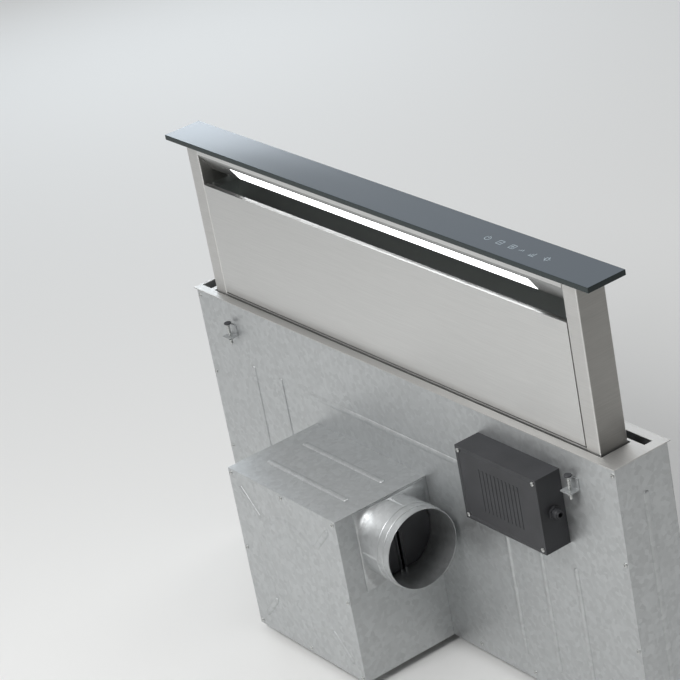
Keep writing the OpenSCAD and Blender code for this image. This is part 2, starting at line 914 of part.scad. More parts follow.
// Pins of the two damper flaps, across the collar
module damper_pins() {
    hl = sqrt(pow(outlet_r, 2) - pow(damper_split + damper_pin_r, 2));
    color(steel) place() damper_axes() translate([0, 0, -hl]) rod_z(damper_pin_r, 2 * hl);
}

// Rear damper flap, with the knuckle that it turns on
module damper_flap_rear() {
    flap_r = outlet_in_r - damper_gap;
    knuckle_hl = flap_r * knuckle_share;
    color(black_plastic) place() translate([damper_x, scroll_mid_y, outlet_z]) difference() {
        union() {
            intersection() {
                translate([-damper_t / 2, 0, 0]) rod_x(flap_r, damper_t);
                box([-damper_t, damper_split, -knuckle_hl], [damper_t, flap_r, knuckle_hl]);
            }
            translate([0, damper_split, -knuckle_hl]) rod_z(damper_knuckle_r, 2 * knuckle_hl);
        }
        translate([0, damper_split, -flap_r]) rod_z(damper_pin_r + run_gap, 2 * flap_r);
    }
}

// Front damper flap, the rear one's mirror image
module damper_flap_front() {
    translate([0, 2 * (tower_y + scroll_mid_y), 0]) mirror([0, 1, 0]) damper_flap_rear();
}

// Box for the electronics, open at the front
module control_box() {
    color(black_plastic) place() difference() {
        box([control_x0, control_y0, control_z0], [control_x1, housing_y0, control_z1]);
        box([control_x0 + control_t, control_y0 - over, control_z0 + control_t],
            [control_x1 - control_t, housing_y0 - control_t, control_z1 - control_t]);
        translate([control_x1 - control_t - over, housing_y0 - control_d / 2,
            control_z1 - control_h / 2]) rod_x(gland_r, control_t + 2 * over);
    }
}

// Cover of the control box
module control_cover() {
    color(black_plastic) place()
        box([control_x0, control_y0 - control_t, control_z0], [control_x1, control_y0, control_z1]);
}

// Gland of the cable entry, in the control box's end
module cable_gland() {
    color(black_plastic) place()
        translate([control_x1, housing_y0 - control_d / 2, control_z1 - control_h / 2])
            difference() {
                union() {
                    translate([-control_t, 0, 0]) rod_x(gland_r, gland_l + control_t);
                    rotate([0, 90, 0]) cylinder(r = gland_nut_r, h = gland_nut_t, $fn = 6);
                }
                translate([-control_t - over, 0, 0]) rod_x(cable_r, gland_l + control_t + 2 * over);
            }
}

// Glass lid with ground edges
module glass_lid() {
    l = 2 * lid_hw;
    w = lid_front + tower_d + lid_rear;
    color(glass_blue) place() translate([-lid_hw, -lid_front, lid_z]) intersection() {
        linear_extrude(lid_t) cut_rect([l, w], lid_arris);
        translate([0, w, 0]) rotate([90, 0, 0]) linear_extrude(w) cut_rect([l, lid_t], lid_arris);
        rotate([90, 0, 90]) linear_extrude(l) cut_rect([w, lid_t], lid_arris);
    }
}

// Turns a piece drawn along X, with Y down the slope, onto the sloping light face
module on_light_face() {
    translate([0, 0, lip_z]) rotate([-light_slope, 0, 0]) children();
}

// Lid carrier: the top plate, the front lip and the sloping light face, closed at both ends
module lid_carrier() {
    y1 = light_face_d + light_back;
    face_z = lip_z - light_face_h;
    rise_share = light_face_h / light_face_d;
    skin_z = skin_t * light_face_l / light_face_d;
    color(steel) place() difference() {
        union() {
            translate([-inner_hw, 0, 0]) rotate([90, 0, 90]) linear_extrude(2 * inner_hw)
                polygon([[0, lid_z], [0, lip_z], [light_face_d, face_z], [y1, face_z], [y1, lid_z]]);
            box([-inner_hw, 0, lid_z - skin_t], [inner_hw, rear_skin_y, lid_z]);
        }
        translate([-inner_hw + skin_t, 0, 0]) rotate([90, 0, 90])
            linear_extrude(2 * (inner_hw - skin_t))
                polygon([[skin_t, lid_z - skin_t], [skin_t, lip_z + skin_z - skin_t * rise_share],
                    [light_face_d + (skin_z - skin_t) / rise_share, face_z + skin_t],
                    [y1 - skin_t, face_z + skin_t], [y1 - skin_t, lid_z - skin_t]]);
        on_light_face() box([-light_hw - diffuser_gap, light_y0 - diffuser_gap, -over],
            [light_hw + diffuser_gap, light_y0 + light_w + diffuser_gap, diffuser_t]);
        box([touch_x1 - touch_l - diffuser_gap, touch_y - diffuser_gap, lid_z - skin_t - over],
            [touch_x1 + diffuser_gap, touch_y + touch_d + diffuser_gap, lid_z + over]);
    }
}

// White diffuser in the sloping face, with a tab behind the sheet at each end
module light_diffuser() {
    tab_hw = light_hw + diffuser_tab;
    color(light_white) place() on_light_face() {
        box([-light_hw, light_y0, 0], [light_hw, light_y0 + light_w, diffuser_t]);
        box([-tab_hw, light_y0, skin_t], [tab_hw, light_y0 + light_w / 2, diffuser_t]);
    }
}

// Light board behind the diffuser, with its row of light sources and its two posts
module light_board() {
    y0 = (light_face_l - light_board_w) / 2;
    y1 = y0 + light_board_w;
    post_x = light_hw + diffuser_tab + diffuser_gap;
    end_x = post_x + light_post_l;
    led_n = floor(2 * light_hw / led_pitch);
    color(board_green) place() on_light_face() {
        box([-end_x, y0, light_board_up], [end_x, y1, light_board_up + board_t]);
        both_ends() box([post_x, y0, skin_t], [end_x, y1, light_board_up]);
        for (i = [0:led_n - 1]) translate([led_pitch * (i - (led_n - 1) / 2) - led_w / 2,
            (y0 + y1 - led_w) / 2, light_board_up - led_t]) cube([led_w, led_w, led_t]);
    }
}

// Touch board under the printed symbols of the glass
module touch_board() {
    color(board_green) place()
        box([touch_x1 - touch_l, touch_y, lid_z - skin_t - board_t],
            [touch_x1, touch_y + touch_d, lid_z]);
}

// Right column: a tube with round outer corners, closed under the glass
module column_right() {
    color(steel) place() difference() {
        translate([inner_hw, 0, tower_z0]) linear_extrude(lid_z - tower_z0)
            round_rect([column_w, tower_d], column_r);
        translate([inner_hw + column_wall, column_wall, tower_z0 - over])
            linear_extrude(lid_z - tower_z0 - column_wall + over)
                round_rect([column_w - 2 * column_wall, tower_d - 2 * column_wall],
                    column_r - column_wall);
        translate([inner_hw - over, hinge_y, hinge_z])
            rod_x(hinge_r + run_gap + bush_wall, column_wall + 2 * over);
    }
}

// Left column
module column_left() {
    mirror([1, 0, 0]) column_right();
}

// Folded sheets that close the ends of the air way behind the front panel
module air_guides() {
    color(dark_steel) place() both_ends() difference() {
        box([shaft_hw, guide_y, tower_z0], [inner_hw, rear_skin_y, guide_z1]);
        box([shaft_hw + skin_t, guide_y + skin_t, tower_z0 - over],
            [inner_hw + over, rear_skin_y + over, guide_z1 - skin_t]);
    }
}

// Rear panel of the tower
module tower_rear_panel() {
    color(steel) place()
        box([-inner_hw, rear_skin_y, tower_z0], [inner_hw, tower_d, lid_z]);
}

// Lower beam, whose hem shows as a bright line under the front panel
module lower_beam() {
    hem_z = panel_z0 - lip_gap;
    color(steel) place() {
        box([-inner_hw, 0, tower_z0], [inner_hw, skin_t, hem_z]);
        box([-inner_hw, skin_t, tower_z0], [inner_hw, panel_d, tower_z0 + skin_t]);
        box([-inner_hw, skin_t, hem_z - 2 * skin_t], [inner_hw, 2 * skin_t, hem_z]);
    }
}

// Puts a piece on the filters' slope, with Y up the slope and Z out of their front
module on_filter_slope() {
    translate([0, filter_y, filter_z]) rotate([filter_slope, 0, 0]) children();
}

// Two folded rails: a shelf under the filters and a hooked strip over them
module filter_rails() {
    front_y = filter_y - filter_t * sin(filter_slope) - filter_rail_front;
    shelf_z = filter_z - filter_rail_t;
    hook_y = filter_top_y - filter_rail_hook;
    strip_z = filter_top_z + filter_rail_gap;
    color(dark_steel) place() {
        box([-shaft_hw, front_y, shelf_z], [shaft_hw, filter_y, filter_z]);
        box([-shaft_hw, front_y, filter_z], [shaft_hw, front_y + filter_rail_t,
            filter_z + filter_rail_lip]);
        box([-shaft_hw, filter_y, filter_z - filter_rail_h],
            [shaft_hw, filter_y + filter_rail_t, filter_z]);
        both_ends() box([shaft_hw - filter_rail_t, filter_y, filter_z - filter_rail_h],
            [shaft_hw, guide_y + filter_rail_h, filter_z]);
        box([-shaft_hw, hook_y, strip_z], [shaft_hw, rear_skin_y, strip_z + filter_rail_t]);
        box([-shaft_hw, hook_y, strip_z - filter_rail_hook],
            [shaft_hw, hook_y + filter_rail_t, strip_z]);
    }
}

// Grease filters: slotted cassettes, each with a tab to pull it by
module grease_filters() {
    pitch = 2 * shaft_hw / filter_n;
    w = pitch - filter_gap;
    slot_pitch = (w - 2 * filter_edge) / filter_slots;
    slot_w = slot_pitch * (1 - filter_web_share);
    web_w = slot_pitch - slot_w;
    color(alloy) place() for (i = [0:filter_n - 1])
        translate([-shaft_hw + pitch * i + filter_gap / 2, 0, 0]) on_filter_slope() {
            difference() {
                cube([w, filter_l, filter_t]);
                for (z = [-over, (filter_t + filter_core_t) / 2])
                    translate([filter_edge, filter_edge, z])
                        cube([w - 2 * filter_edge, filter_l - 2 * filter_edge,
                            (filter_t - filter_core_t) / 2 + over]);
                for (j = [0:filter_slots - 1])
                    translate([filter_edge + web_w / 2 + slot_pitch * j, filter_edge, -over])
                        cube([slot_w, filter_l - 2 * filter_edge, filter_t + 2 * over]);
            }
            translate([(w - filter_tab_w) / 2, filter_tab_up, (filter_t + filter_core_t) / 2])
                cube([filter_tab_w, filter_tab_t, filter_tab_d]);
        }
}

// Arms that carry the columns on the lead nuts
module lift_carriages() {
    color(alloy) place() both_ends() difference() {
        box([tower_hw, screw_y - bearing_d / 2, tower_z0],
            [bay_hw - rail_w - shoe_gap, rail_y + rail_d - rail_wall - shoe_gap,
                tower_z0 + carriage_h]);
        translate([screw_x, screw_y, tower_z0 - over]) rod_z(nut_r, carriage_h + 2 * over);
    }
}

// Flanged bronze nuts on the lead screws
module lead_nuts() {
    z0 = tower_z0 - nut_flange_t;
    color(bronze) place() both_ends() translate([screw_x, screw_y, z0]) difference() {
        union() {
            rod_z(nut_r, carriage_h + nut_flange_t);
            rod_z(nut_flange_r, nut_flange_t);
        }
        translate([0, 0, -over]) rod_z(screw_r + run_gap, carriage_h + nut_flange_t + 2 * over);
    }
}

// Plastic shoes that run in the guide rails
module guide_shoes() {
    color(black_plastic) place() both_ends()
        box([bay_hw - rail_w - shoe_gap, rail_y + rail_wall + shoe_gap, tower_z0],
            [bay_hw - rail_wall - shoe_gap, rail_y + rail_d - rail_wall - shoe_gap,
                tower_z0 + carriage_h]);
}

// Magnets on the carriages' fronts, which the position sensors read
module sensor_magnets() {
    x1 = bay_hw - rail_w - shoe_gap;
    y1 = screw_y - bearing_d / 2;
    color(dark_steel) place() both_ends()
        box([x1 - magnet_w, y1 - magnet_t, tower_z0], [x1, y1, tower_z0 + sensor_h]);
}

// Plastic bushes of the front panel's hinge, in the columns' inner walls
module hinge_bushes() {
    color(black_plastic) place() both_ends() translate([inner_hw, hinge_y, hinge_z]) difference() {
        rod_x(hinge_r + run_gap + bush_wall, bush_l);
        translate([-over, 0, 0]) rod_x(hinge_r + run_gap, bush_l + 2 * over);
    }
}

// Magnetic catches of the front panel, on the air guides
module panel_catches() {
    mid_x = (shaft_hw + inner_hw) / 2;
    color(black_plastic) place() both_ends()
        box([mid_x - catch_w / 2, panel_d + play, catch_z0],
            [mid_x + catch_w / 2, guide_y, catch_z1]);
}

// Front panel with its four folded edges
module front_panel() {
    color(steel) place() difference() {
        box([-panel_hw, 0, panel_z0], [panel_hw, panel_d, panel_z1]);
        box([-panel_hw + skin_t, skin_t, panel_z0 + skin_t],
            [panel_hw - skin_t, panel_d + over, panel_z1 - skin_t]);
        both_ends() translate([panel_hw - skin_t - over, hinge_y, hinge_z])
            rod_x(hinge_r, skin_t + 2 * over);
    }
}

// Hinge pins with the blocks that hold them in the panel
module hinge_pins() {
    x0 = panel_hw - skin_t - block_l;
    color(steel) place() both_ends() {
        translate([x0, hinge_y, hinge_z]) rod_x(hinge_r, block_l + skin_t + panel_gap + pin_in);
        box([x0, skin_t, panel_z0 + skin_t],
            [panel_hw - skin_t, panel_d, hinge_z + hinge_r + skin_t]);
    }
}

// Steel plates that the catches hold
module strike_plates() {
    color(steel) place() both_ends()
        box([shaft_hw + strike_in, panel_d - skin_t, catch_z0 - strike_in],
            [panel_hw - skin_t, panel_d, catch_z1 + strike_in]);
}

worktop_frame();
opening_seal();
housing_front();
housing_rear();
housing_end_left();
housing_end_right();
housing_tray();
worktop_clamps();
clamp_screws();
levelling_feet();
housing_screws();
guide_rail_left();
guide_rail_right();
screw_bearings();
lead_screw_left();
lead_screw_right();
screw_pulley_left();
screw_pulley_right();
long_belt();
short_belt();
lift_motor();
motor_bracket();
motor_shaft();
motor_pulley();
position_sensors();
blower_box();
blower_cover();
blower_scroll();
inlet_ring();
impeller();
blower_shaft();
blower_motor();
outlet_collar();
damper_flap_front();
damper_flap_rear();
damper_pins();
control_box();
control_cover();
cable_gland();
glass_lid();
lid_carrier();
light_board();
light_diffuser();
touch_board();
column_left();
column_right();
air_guides();
tower_rear_panel();
lower_beam();
filter_rails();
grease_filters();
lift_carriages();
lead_nuts();
guide_shoes();
sensor_magnets();
hinge_bushes();
panel_catches();
front_panel();
hinge_pins();
strike_plates();
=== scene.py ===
# %% [markdown]
# A downdraft vent rises beside the pans and draws their fumes down into its housing. The CAD nodes already
# have the right sizes and move on the right bodies, so this lesson only dresses them. Each sharp-edged
# sheet gets a copy with small round edges, each finish is a node material, and a few pieces that CAD kept
# plain are built again with more detail.

# %% Load the frame
import json
import math

import bmesh
import bpy
from mathutils import Matrix, Vector

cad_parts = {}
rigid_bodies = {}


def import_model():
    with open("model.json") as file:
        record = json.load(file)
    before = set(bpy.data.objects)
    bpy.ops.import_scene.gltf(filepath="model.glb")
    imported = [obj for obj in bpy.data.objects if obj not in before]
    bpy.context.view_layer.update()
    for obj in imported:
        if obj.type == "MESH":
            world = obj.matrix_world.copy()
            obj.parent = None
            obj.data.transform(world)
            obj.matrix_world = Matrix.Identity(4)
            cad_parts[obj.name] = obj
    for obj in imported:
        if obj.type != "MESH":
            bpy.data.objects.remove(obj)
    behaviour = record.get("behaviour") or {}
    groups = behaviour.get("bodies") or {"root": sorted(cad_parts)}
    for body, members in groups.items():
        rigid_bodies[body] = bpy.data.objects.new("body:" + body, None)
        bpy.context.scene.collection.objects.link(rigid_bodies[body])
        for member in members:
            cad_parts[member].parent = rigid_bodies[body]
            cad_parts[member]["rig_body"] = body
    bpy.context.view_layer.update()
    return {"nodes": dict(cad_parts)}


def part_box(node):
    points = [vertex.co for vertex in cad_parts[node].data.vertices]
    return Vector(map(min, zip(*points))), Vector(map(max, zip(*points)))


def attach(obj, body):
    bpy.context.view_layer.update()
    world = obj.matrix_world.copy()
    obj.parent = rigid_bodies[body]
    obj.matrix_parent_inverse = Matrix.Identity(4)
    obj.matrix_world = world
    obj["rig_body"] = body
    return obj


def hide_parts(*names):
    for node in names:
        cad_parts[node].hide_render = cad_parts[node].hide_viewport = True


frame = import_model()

nodes = frame["nodes"]

# %% [markdown]
# The camera stands to the right of the vent and above it. Its place, turn and lens were solved from the
# straight edges in the photograph, so that every corner of the tower falls where it does there. A turn is
# written as three directions: to the right of the picture, to its top, and back towards the viewer.

# %% Camera
TOWER_Y = 0.017
FRAME_TOP = 0.0015


def add_camera():
    data = bpy.data.cameras.new("camera")
    data.lens = 143.14
    data.sensor_width = 36
    data.clip_end = 100
    camera = bpy.data.objects.new("camera", data)
    right = Vector((0.58558, 0.79179, -0.17366))
    up = Vector((-0.25251, 0.38175, 0.88911))
    back = Vector((0.77028, -0.47679, 0.42348))
    turn = Matrix((right, up, back)).transposed().to_4x4()
    place = (3.5655, TOWER_Y - 2.3006, FRAME_TOP + 2.0506)
    camera.matrix_world = Matrix.Translation(place) @ turn
    bpy.context.scene.collection.objects.link(camera)
    bpy.context.scene.camera = camera
    return camera


camera = add_camera()
print("camera at", [round(c, 3) for c in camera.location])

# %% [markdown]
# The vent stands on its levelling feet, so the floor lies under them. One large pale sheet fills the whole
# view. It is part of the stage and not of the vent.

# %% Floor
FLOOR_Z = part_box("levelling_feet")[0].z
FLOOR_REACH = 30


def plain_material(name, colour, roughness):
    material = bpy.data.materials.new(name)
    material.use_nodes = True
    shader = material.node_tree.nodes["Principled BSDF"]
    shader.inputs["Base Color"].default_value = (*colour, 1)
    shader.inputs["Roughness"].default_value = roughness
    return material, shader


def add_floor():
    mesh = bpy.data.meshes.new("floor")
    bm = bmesh.new()
    bmesh.ops.create_grid(bm, x_segments=1, y_segments=1, size=FLOOR_REACH)
    bmesh.ops.translate(bm, verts=bm.verts, vec=(0, 0, FLOOR_Z))
    bm.to_mesh(mesh)
    bm.free()
    floor = bpy.data.objects.new("floor", mesh)
    bpy.context.scene.collection.objects.link(floor)
    mesh.materials.append(plain_material("floor_paint", (0.80, 0.80, 0.79), 0.9)[0])
    return floor


add_floor()
print("floor at z =", round(FLOOR_Z, 4))

# %% [markdown]
# Steel shows what stands round it, so the lamps are large and soft. The key lamp hangs in front of the vent
# and above it, and lights the floor that the front panel mirrors. A wide bluish lamp far behind the left
# end is what the left end of the glass lid mirrors, and its image fades out along the lid. A weak lamp at
# the rear fills the shadows there. The world is brighter overhead and to the left, which leaves the right
# side of the tower darker; the darker steel of the column sides adds painted shade there.

# %% Lamps and world
def add_area_lamp(name, place, target, size, radiance, colour=(1, 1, 1)):
    data = bpy.data.lights.new(name, "AREA")
    data.shape = "RECTANGLE"
    data.size, data.size_y = size
    data.energy = radiance * math.pi * size[0] * size[1]
    data.color = colour
    lamp = bpy.data.objects.new(name, data)
    lamp.location = place
    lamp.rotation_euler = (Vector(target) - Vector(place)).to_track_quat("-Z", "Y").to_euler()
    bpy.context.scene.collection.objects.link(lamp)
    return lamp


def set_world(bright_side, low, high):
    world = bpy.data.worlds.new("studio")
    world.use_nodes = True
    tree = world.node_tree
    background = tree.nodes["Background"]
    background.inputs["Color"].default_value = (1, 1, 1, 1)
    place = tree.nodes.new("ShaderNodeTexCoord")
    facing = tree.nodes.new("ShaderNodeVectorMath")
    facing.operation = "DOT_PRODUCT"
    facing.inputs[1].default_value = Vector(bright_side).normalized()
    fade = tree.nodes.new("ShaderNodeMapRange")
    fade.interpolation_type = "SMOOTHSTEP"
    fade.inputs["From Min"].default_value = -0.7
    fade.inputs["From Max"].default_value = 0.9
    fade.inputs["To Min"].default_value = low
    fade.inputs["To Max"].default_value = high
    tree.links.new(place.outputs["Generated"], facing.inputs[0])
    tree.links.new(facing.outputs["Value"], fade.inputs["Value"])
    tree.links.new(fade.outputs["Result"], background.inputs["Strength"])
    bpy.context.scene.world = world


add_area_lamp("key_lamp", (0.4, -2.2, 2.3), target=(0.1, -0.5, -0.2), size=(1.7, 1.1), radiance=11.5)
add_area_lamp("back_lamp", (-3.95, 1.9, 1.22), target=(-0.5, 0, 0.3), size=(2.1, 1.15), radiance=4.0,
              colour=(0.83, 0.92, 1.0))
add_area_lamp("rear_fill", (-1.2, 2.8, 2.7), target=(0, 0.1, -0.2), size=(1.6, 1.0), radiance=2.0)
set_world(bright_side=(-0.75, 0.1, 0.62), low=0.04, high=0.64)
bpy.context.scene.view_settings.view_transform = "Standard"

# %% [markdown]
# Every new piece needs the same last steps: the mesh takes its materials, faces that meet at a shallow
# angle are shaded smooth, and the piece rides on a body of the frame. A big flat face next to a narrow
# round edge would be shaded as if it bulged, so the Weighted Normal modifier lets the largest faces say
# which way the shading points.

# %% Add a piece
SHARP_ANGLE = math.radians(35)


def add_piece(name, bm, body, materials, replaced=()):
    for face in bm.faces:
        face.smooth = True
    mesh = bpy.data.meshes.new(name)
    bm.to_mesh(mesh)
    bm.free()
    for material in materials:
        mesh.materials.append(material)
    mesh.set_sharp_from_angle(angle=SHARP_ANGLE)
    piece = bpy.data.objects.new(name, mesh)
    bpy.context.scene.collection.objects.link(piece)
    even = piece.modifiers.new("even_shading", "WEIGHTED_NORMAL")
    even.keep_sharp = True
    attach(piece, body)
    if replaced:
        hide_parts(*replaced)
    return piece


# %% [markdown]
# Folded sheet metal and cut glass have small round edges that catch the light, while CAD draws them sharp.
# A copy of a node is merged, its flat triangles are joined into whole faces, and every sharp edge gets a
# narrow bevel. The copy then stands for the node, on the same body. Where some faces need another finish, a
# small test picks them out.

# %% Round the edges of a node
SAME_PLACE = 1e-6
FLAT_ANGLE = math.radians(0.5)
TINY_EDGE = 5e-6
HAIR_EDGE = 0.0001
FINE_EDGE = 0.0003
SHEET_EDGE = 0.0004


def merged_copy(node):
    bm = bmesh.new()
    bm.from_mesh(nodes[node].data)
    bmesh.ops.remove_doubles(bm, verts=bm.verts, dist=SAME_PLACE)
    bmesh.ops.dissolve_limit(bm, angle_limit=FLAT_ANGLE, verts=bm.verts, edges=bm.edges)
    return bm


def round_edges(bm, edges, width, segments=2):
    bmesh.ops.bevel(bm, geom=edges, offset=width, offset_type="OFFSET", segments=segments, profile=0.5,
                    affect="EDGES", clamp_overlap=True, material=-1)


def soften_edges(bm, width, segments=2, lowest=-1):
    sharp = [e for e in bm.edges if len(e.link_faces) == 2 and e.calc_face_angle(0) > SHARP_ANGLE
             and min(v.co.z for v in e.verts) > lowest]
    round_edges(bm, sharp, width, segments)
    bmesh.ops.triangulate(bm, faces=[f for f in bm.faces if len(f.verts) > 4])
    bmesh.ops.dissolve_degenerate(bm, dist=TINY_EDGE, edges=bm.edges)


def softened(node, width, material, segments=2, second=None, has_second=None, lowest=-1):
    bm = merged_copy(node)
    soften_edges(bm, width, segments, lowest)
    if second:
        bm.normal_update()
        for face in bm.faces:
            face.material_index = int(has_second(face))
    materials = [material, second] if second else [material]
    return add_piece(node + "_dressed", bm, nodes[node]["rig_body"], materials, [node])


def repaint(node, material):
    nodes[node].data.materials.clear()
    nodes[node].data.materials.append(material)


# %% [markdown]
# Most finishes here are one shader whose roughness, height or colour follows a noise. Small helpers make a
# noise that is stretched as the finish asks, and let it drive one of the shader's values. The noise reads
# Object coordinates, because they stay with a piece when it moves, and need no unwrapping.

# %% Noise helpers
def add_noise(tree, stretch, detail=3.0):
    place = tree.nodes.new("ShaderNodeTexCoord")
    scale = tree.nodes.new("ShaderNodeMapping")
    scale.inputs["Scale"].default_value = stretch
    noise = tree.nodes.new("ShaderNodeTexNoise")
    noise.inputs["Scale"].default_value = 1
    noise.inputs["Detail"].default_value = detail
    tree.links.new(place.outputs["Object"], scale.inputs["Vector"])
    tree.links.new(scale.outputs["Vector"], noise.inputs["Vector"])
    return noise.outputs["Fac"]


def map_value(tree, value, low, high, from_low=0.3, from_high=0.7):
    spread = tree.nodes.new("ShaderNodeMapRange")
    spread.inputs["From Min"].default_value = from_low
    spread.inputs["From Max"].default_value = from_high
    spread.inputs["To Min"].default_value = low
    spread.inputs["To Max"].default_value = high
    tree.links.new(value, spread.inputs["Value"])
    return spread.outputs["Result"]


def drive_roughness(tree, shader, value, low, high, from_low=0.3, from_high=0.7):
    rough = map_value(tree, value, low, high, from_low, from_high)
    tree.links.new(rough, shader.inputs["Roughness"])


def shade_colour(tree, shader, value, dark, light, margin=0.3):
    ramp = tree.nodes.new("ShaderNodeValToRGB")
    ramp.color_ramp.elements[0].position = margin
    ramp.color_ramp.elements[1].position = 1 - margin
    ramp.color_ramp.elements[0].color = (*dark, 1)
    ramp.color_ramp.elements[1].color = (*light, 1)
    tree.links.new(value, ramp.inputs["Fac"])
    tree.links.new(ramp.outputs["Color"], shader.inputs["Base Color"])


def add_bump(tree, shader, height, strength, distance):
    bump = tree.nodes.new("ShaderNodeBump")
    bump.inputs["Strength"].default_value = strength
    bump.inputs["Distance"].default_value = distance
    tree.links.new(height, bump.inputs["Height"])
    tree.links.new(bump.outputs["Normal"], shader.inputs["Normal"])


def tint(colour, share):
    return tuple(min(1, c * share) for c in colour)


# %% [markdown]
# Brushed stainless steel is a mirror with thousands of fine scratches that all run one way. A picture of it
# would repeat on such long sheets. So a noise that is stretched along the grain changes the roughness and
# lifts the surface a little, a longer one makes the faint lighter and darker streaks that the brush leaves,
# and the highlight is stretched across the grain.

# %% Brushed steel
def brushed_steel(name, colour, roughness, grain, spread=0.06, anisotropy=0.5, streaks=0.03, turn=0.25):
    material, shader = plain_material(name, colour, roughness)
    tree = material.node_tree
    shader.inputs["Metallic"].default_value = 1
    shader.inputs["Anisotropic"].default_value = anisotropy
    shader.inputs["Anisotropic Rotation"].default_value = turn
    scratches = add_noise(tree, grain)
    drive_roughness(tree, shader, scratches, roughness - spread, roughness + spread)
    long_grain = tuple(12 if scale < 100 else scale * 0.8 for scale in grain)
    streak = add_noise(tree, long_grain, 2)
    shade_colour(tree, shader, streak, tint(colour, 1 - streaks), tint(colour, 1 + streaks))
    add_bump(tree, shader, scratches, 0.10, 0.0002)
    return material


GRAIN_ALONG_X = (30, 900, 900)
GRAIN_ALONG_Y = (900, 30, 900)
GRAIN_ROUND_Z = (50, 50, 900)
panel_steel = brushed_steel("panel_steel", (0.68, 0.68, 0.67), 0.34, GRAIN_ALONG_X)
column_steel = brushed_steel("column_steel", (0.70, 0.695, 0.68), 0.40, GRAIN_ROUND_Z, anisotropy=0.8)
# The sides of the columns are the same steel, duller, and with a darker colour that is painted shade.
painted_shade_side_steel = brushed_steel("painted_shade_side_steel", (0.47, 0.462, 0.442), 0.46, GRAIN_ROUND_Z, anisotropy=0.8,
                           streaks=0.04)
frame_steel = brushed_steel("frame_steel", (0.61, 0.605, 0.59), 0.54, GRAIN_ALONG_X)
# A darker copy of the tower's steel: its colour is painted shade for faces that point down or lie deep in
# the tower.
painted_shade_steel = brushed_steel("painted_shade_steel", (0.38, 0.385, 0.38), 0.42, GRAIN_ALONG_X)
# Another darker steel, whose colour is painted shade for the inside of the tower.
painted_shade_inner_steel = brushed_steel("painted_shade_inner_steel", (0.39, 0.415, 0.405), 0.46, GRAIN_ALONG_Y)
print("steels:", [m.name for m in bpy.data.materials if m.name.endswith("_steel")])

# %% [markdown]
# The tower is folded from sheet, so its pieces get small round edges, and the front panel larger ones where
# the sheet is folded over. A face may take a finish of its own: the slope that holds the light, the inner
# face of the rear panel and the sides of the columns get darker steel, which is painted shade, and a test
# on the way that a face points picks them out. The ledge of the filters keeps its CAD mesh, because only
# its finish changes: it and the air guides get darker steel as painted shade too.

# %% Dress the steel pieces
def slopes_forward_down(face):
    return face.normal.z < -0.3 and face.normal.y < -0.3


def faces_front(face):
    return face.normal.y < -0.5


def faces_sideways(face):
    return abs(face.normal.x) > 0.9


# The slope that holds the light faces down and forward, and gets the darker steel as painted shade.
softened("lid_carrier", SHEET_EDGE, panel_steel, second=painted_shade_steel, has_second=slopes_forward_down)
softened("front_panel", 0.0009, panel_steel, segments=3)
softened("lower_beam", 0.0005, panel_steel)
# The inner face of the rear panel gets the darker steel as painted shade.
softened("tower_rear_panel", FINE_EDGE, panel_steel, second=painted_shade_inner_steel, has_second=faces_front)
# The sides of the columns get the darker steel as painted shade.
for node in ("column_left", "column_right"):
    softened(node, SHEET_EDGE, column_steel, second=painted_shade_side_steel, has_second=faces_sideways)
softened("worktop_frame", SHEET_EDGE, frame_steel, lowest=0.001)
# The filter ledge lies deep in the tower and gets the darker steel as painted shade.
repaint("filter_rails", painted_shade_steel)
# The air guides inside the tower get the darker steel as painted shade.
softened("air_guides", FINE_EDGE, painted_shade_inner_steel)

# %% [markdown]
# The new pieces below share a few helpers. One makes a block between two corners. The others list the edges
# and faces that touch some points, or pick the points or the edges out of what an operator made. They are
# lists and not sets, so that they keep one order and each run gives the same mesh.

# %% Mesh helpers
LEFT, RIGHT, FRONT, REAR, DOWN, UP = (-1, 0, 0), (1, 0, 0), (0, -1, 0), (0, 1, 0), (0, 0, -1), (0, 0, 1)


def add_block(bm, low, high):
    made = bmesh.ops.create_cube(bm, size=1)["verts"]
    bmesh.ops.scale(bm, vec=Vector(high) - Vector(low), verts=made)
    bmesh.ops.translate(bm, vec=(Vector(low) + Vector(high)) / 2, verts=made)
    return made


def edges_of(verts):
    return list(dict.fromkeys(edge for vert in verts for edge in vert.link_edges))


def faces_of(verts):
    return list(dict.fromkeys(face for vert in verts for face in vert.link_faces))


def only_verts(geometry):
    return [item for item in geometry if isinstance(item, bmesh.types.BMVert)]


def only_edges(geometry):
    return [item for item in geometry if isinstance(item, bmesh.types.BMEdge)]


# %% [markdown]
# The lid is one long plate of toughened glass, printed slate grey on its back. Its edges are ground round
# and polished, with no print behind them, so they look darker than the top. It could be clear glass over a
# printed sheet, but a dark, glossy surface mirrors the room in the same way and renders without noise.

# %% Glass lid
PRINT_DEPTH = 0.00005
smoked_glass, glass_shader = plain_material("smoked_glass", (0.076, 0.098, 0.121), 0.11)
glass_shader.inputs["Specular IOR Level"].default_value = 0.42
smears = add_noise(smoked_glass.node_tree, (3, 9, 9), 4)
drive_roughness(smoked_glass.node_tree, glass_shader, smears, 0.10, 0.12)
glass_edge, edge_shader = plain_material("glass_edge", (0.016, 0.026, 0.027), 0.12)
edge_shader.inputs["Specular IOR Level"].default_value = 0.35
ground = add_noise(glass_edge.node_tree, (60, 60, 500), 3)
drive_roughness(glass_edge.node_tree, edge_shader, ground, 0.08, 0.2)
lid_low, lid_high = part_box("glass_lid")


def add_lid():
    bm = bmesh.new()
    add_block(bm, lid_low, lid_high - Vector((0, 0, PRINT_DEPTH)))
    round_edges(bm, bm.edges[:], 0.0009, 3)
    for face in bm.faces:
        face.material_index = 0 if face.normal.z > 0.9 else 1
    return add_piece("glass_lid_plate", bm, "tower", [smoked_glass, glass_edge], ["glass_lid"])


lid = add_lid()
print("lid:", [round(c, 4) for c in lid.dimensions])

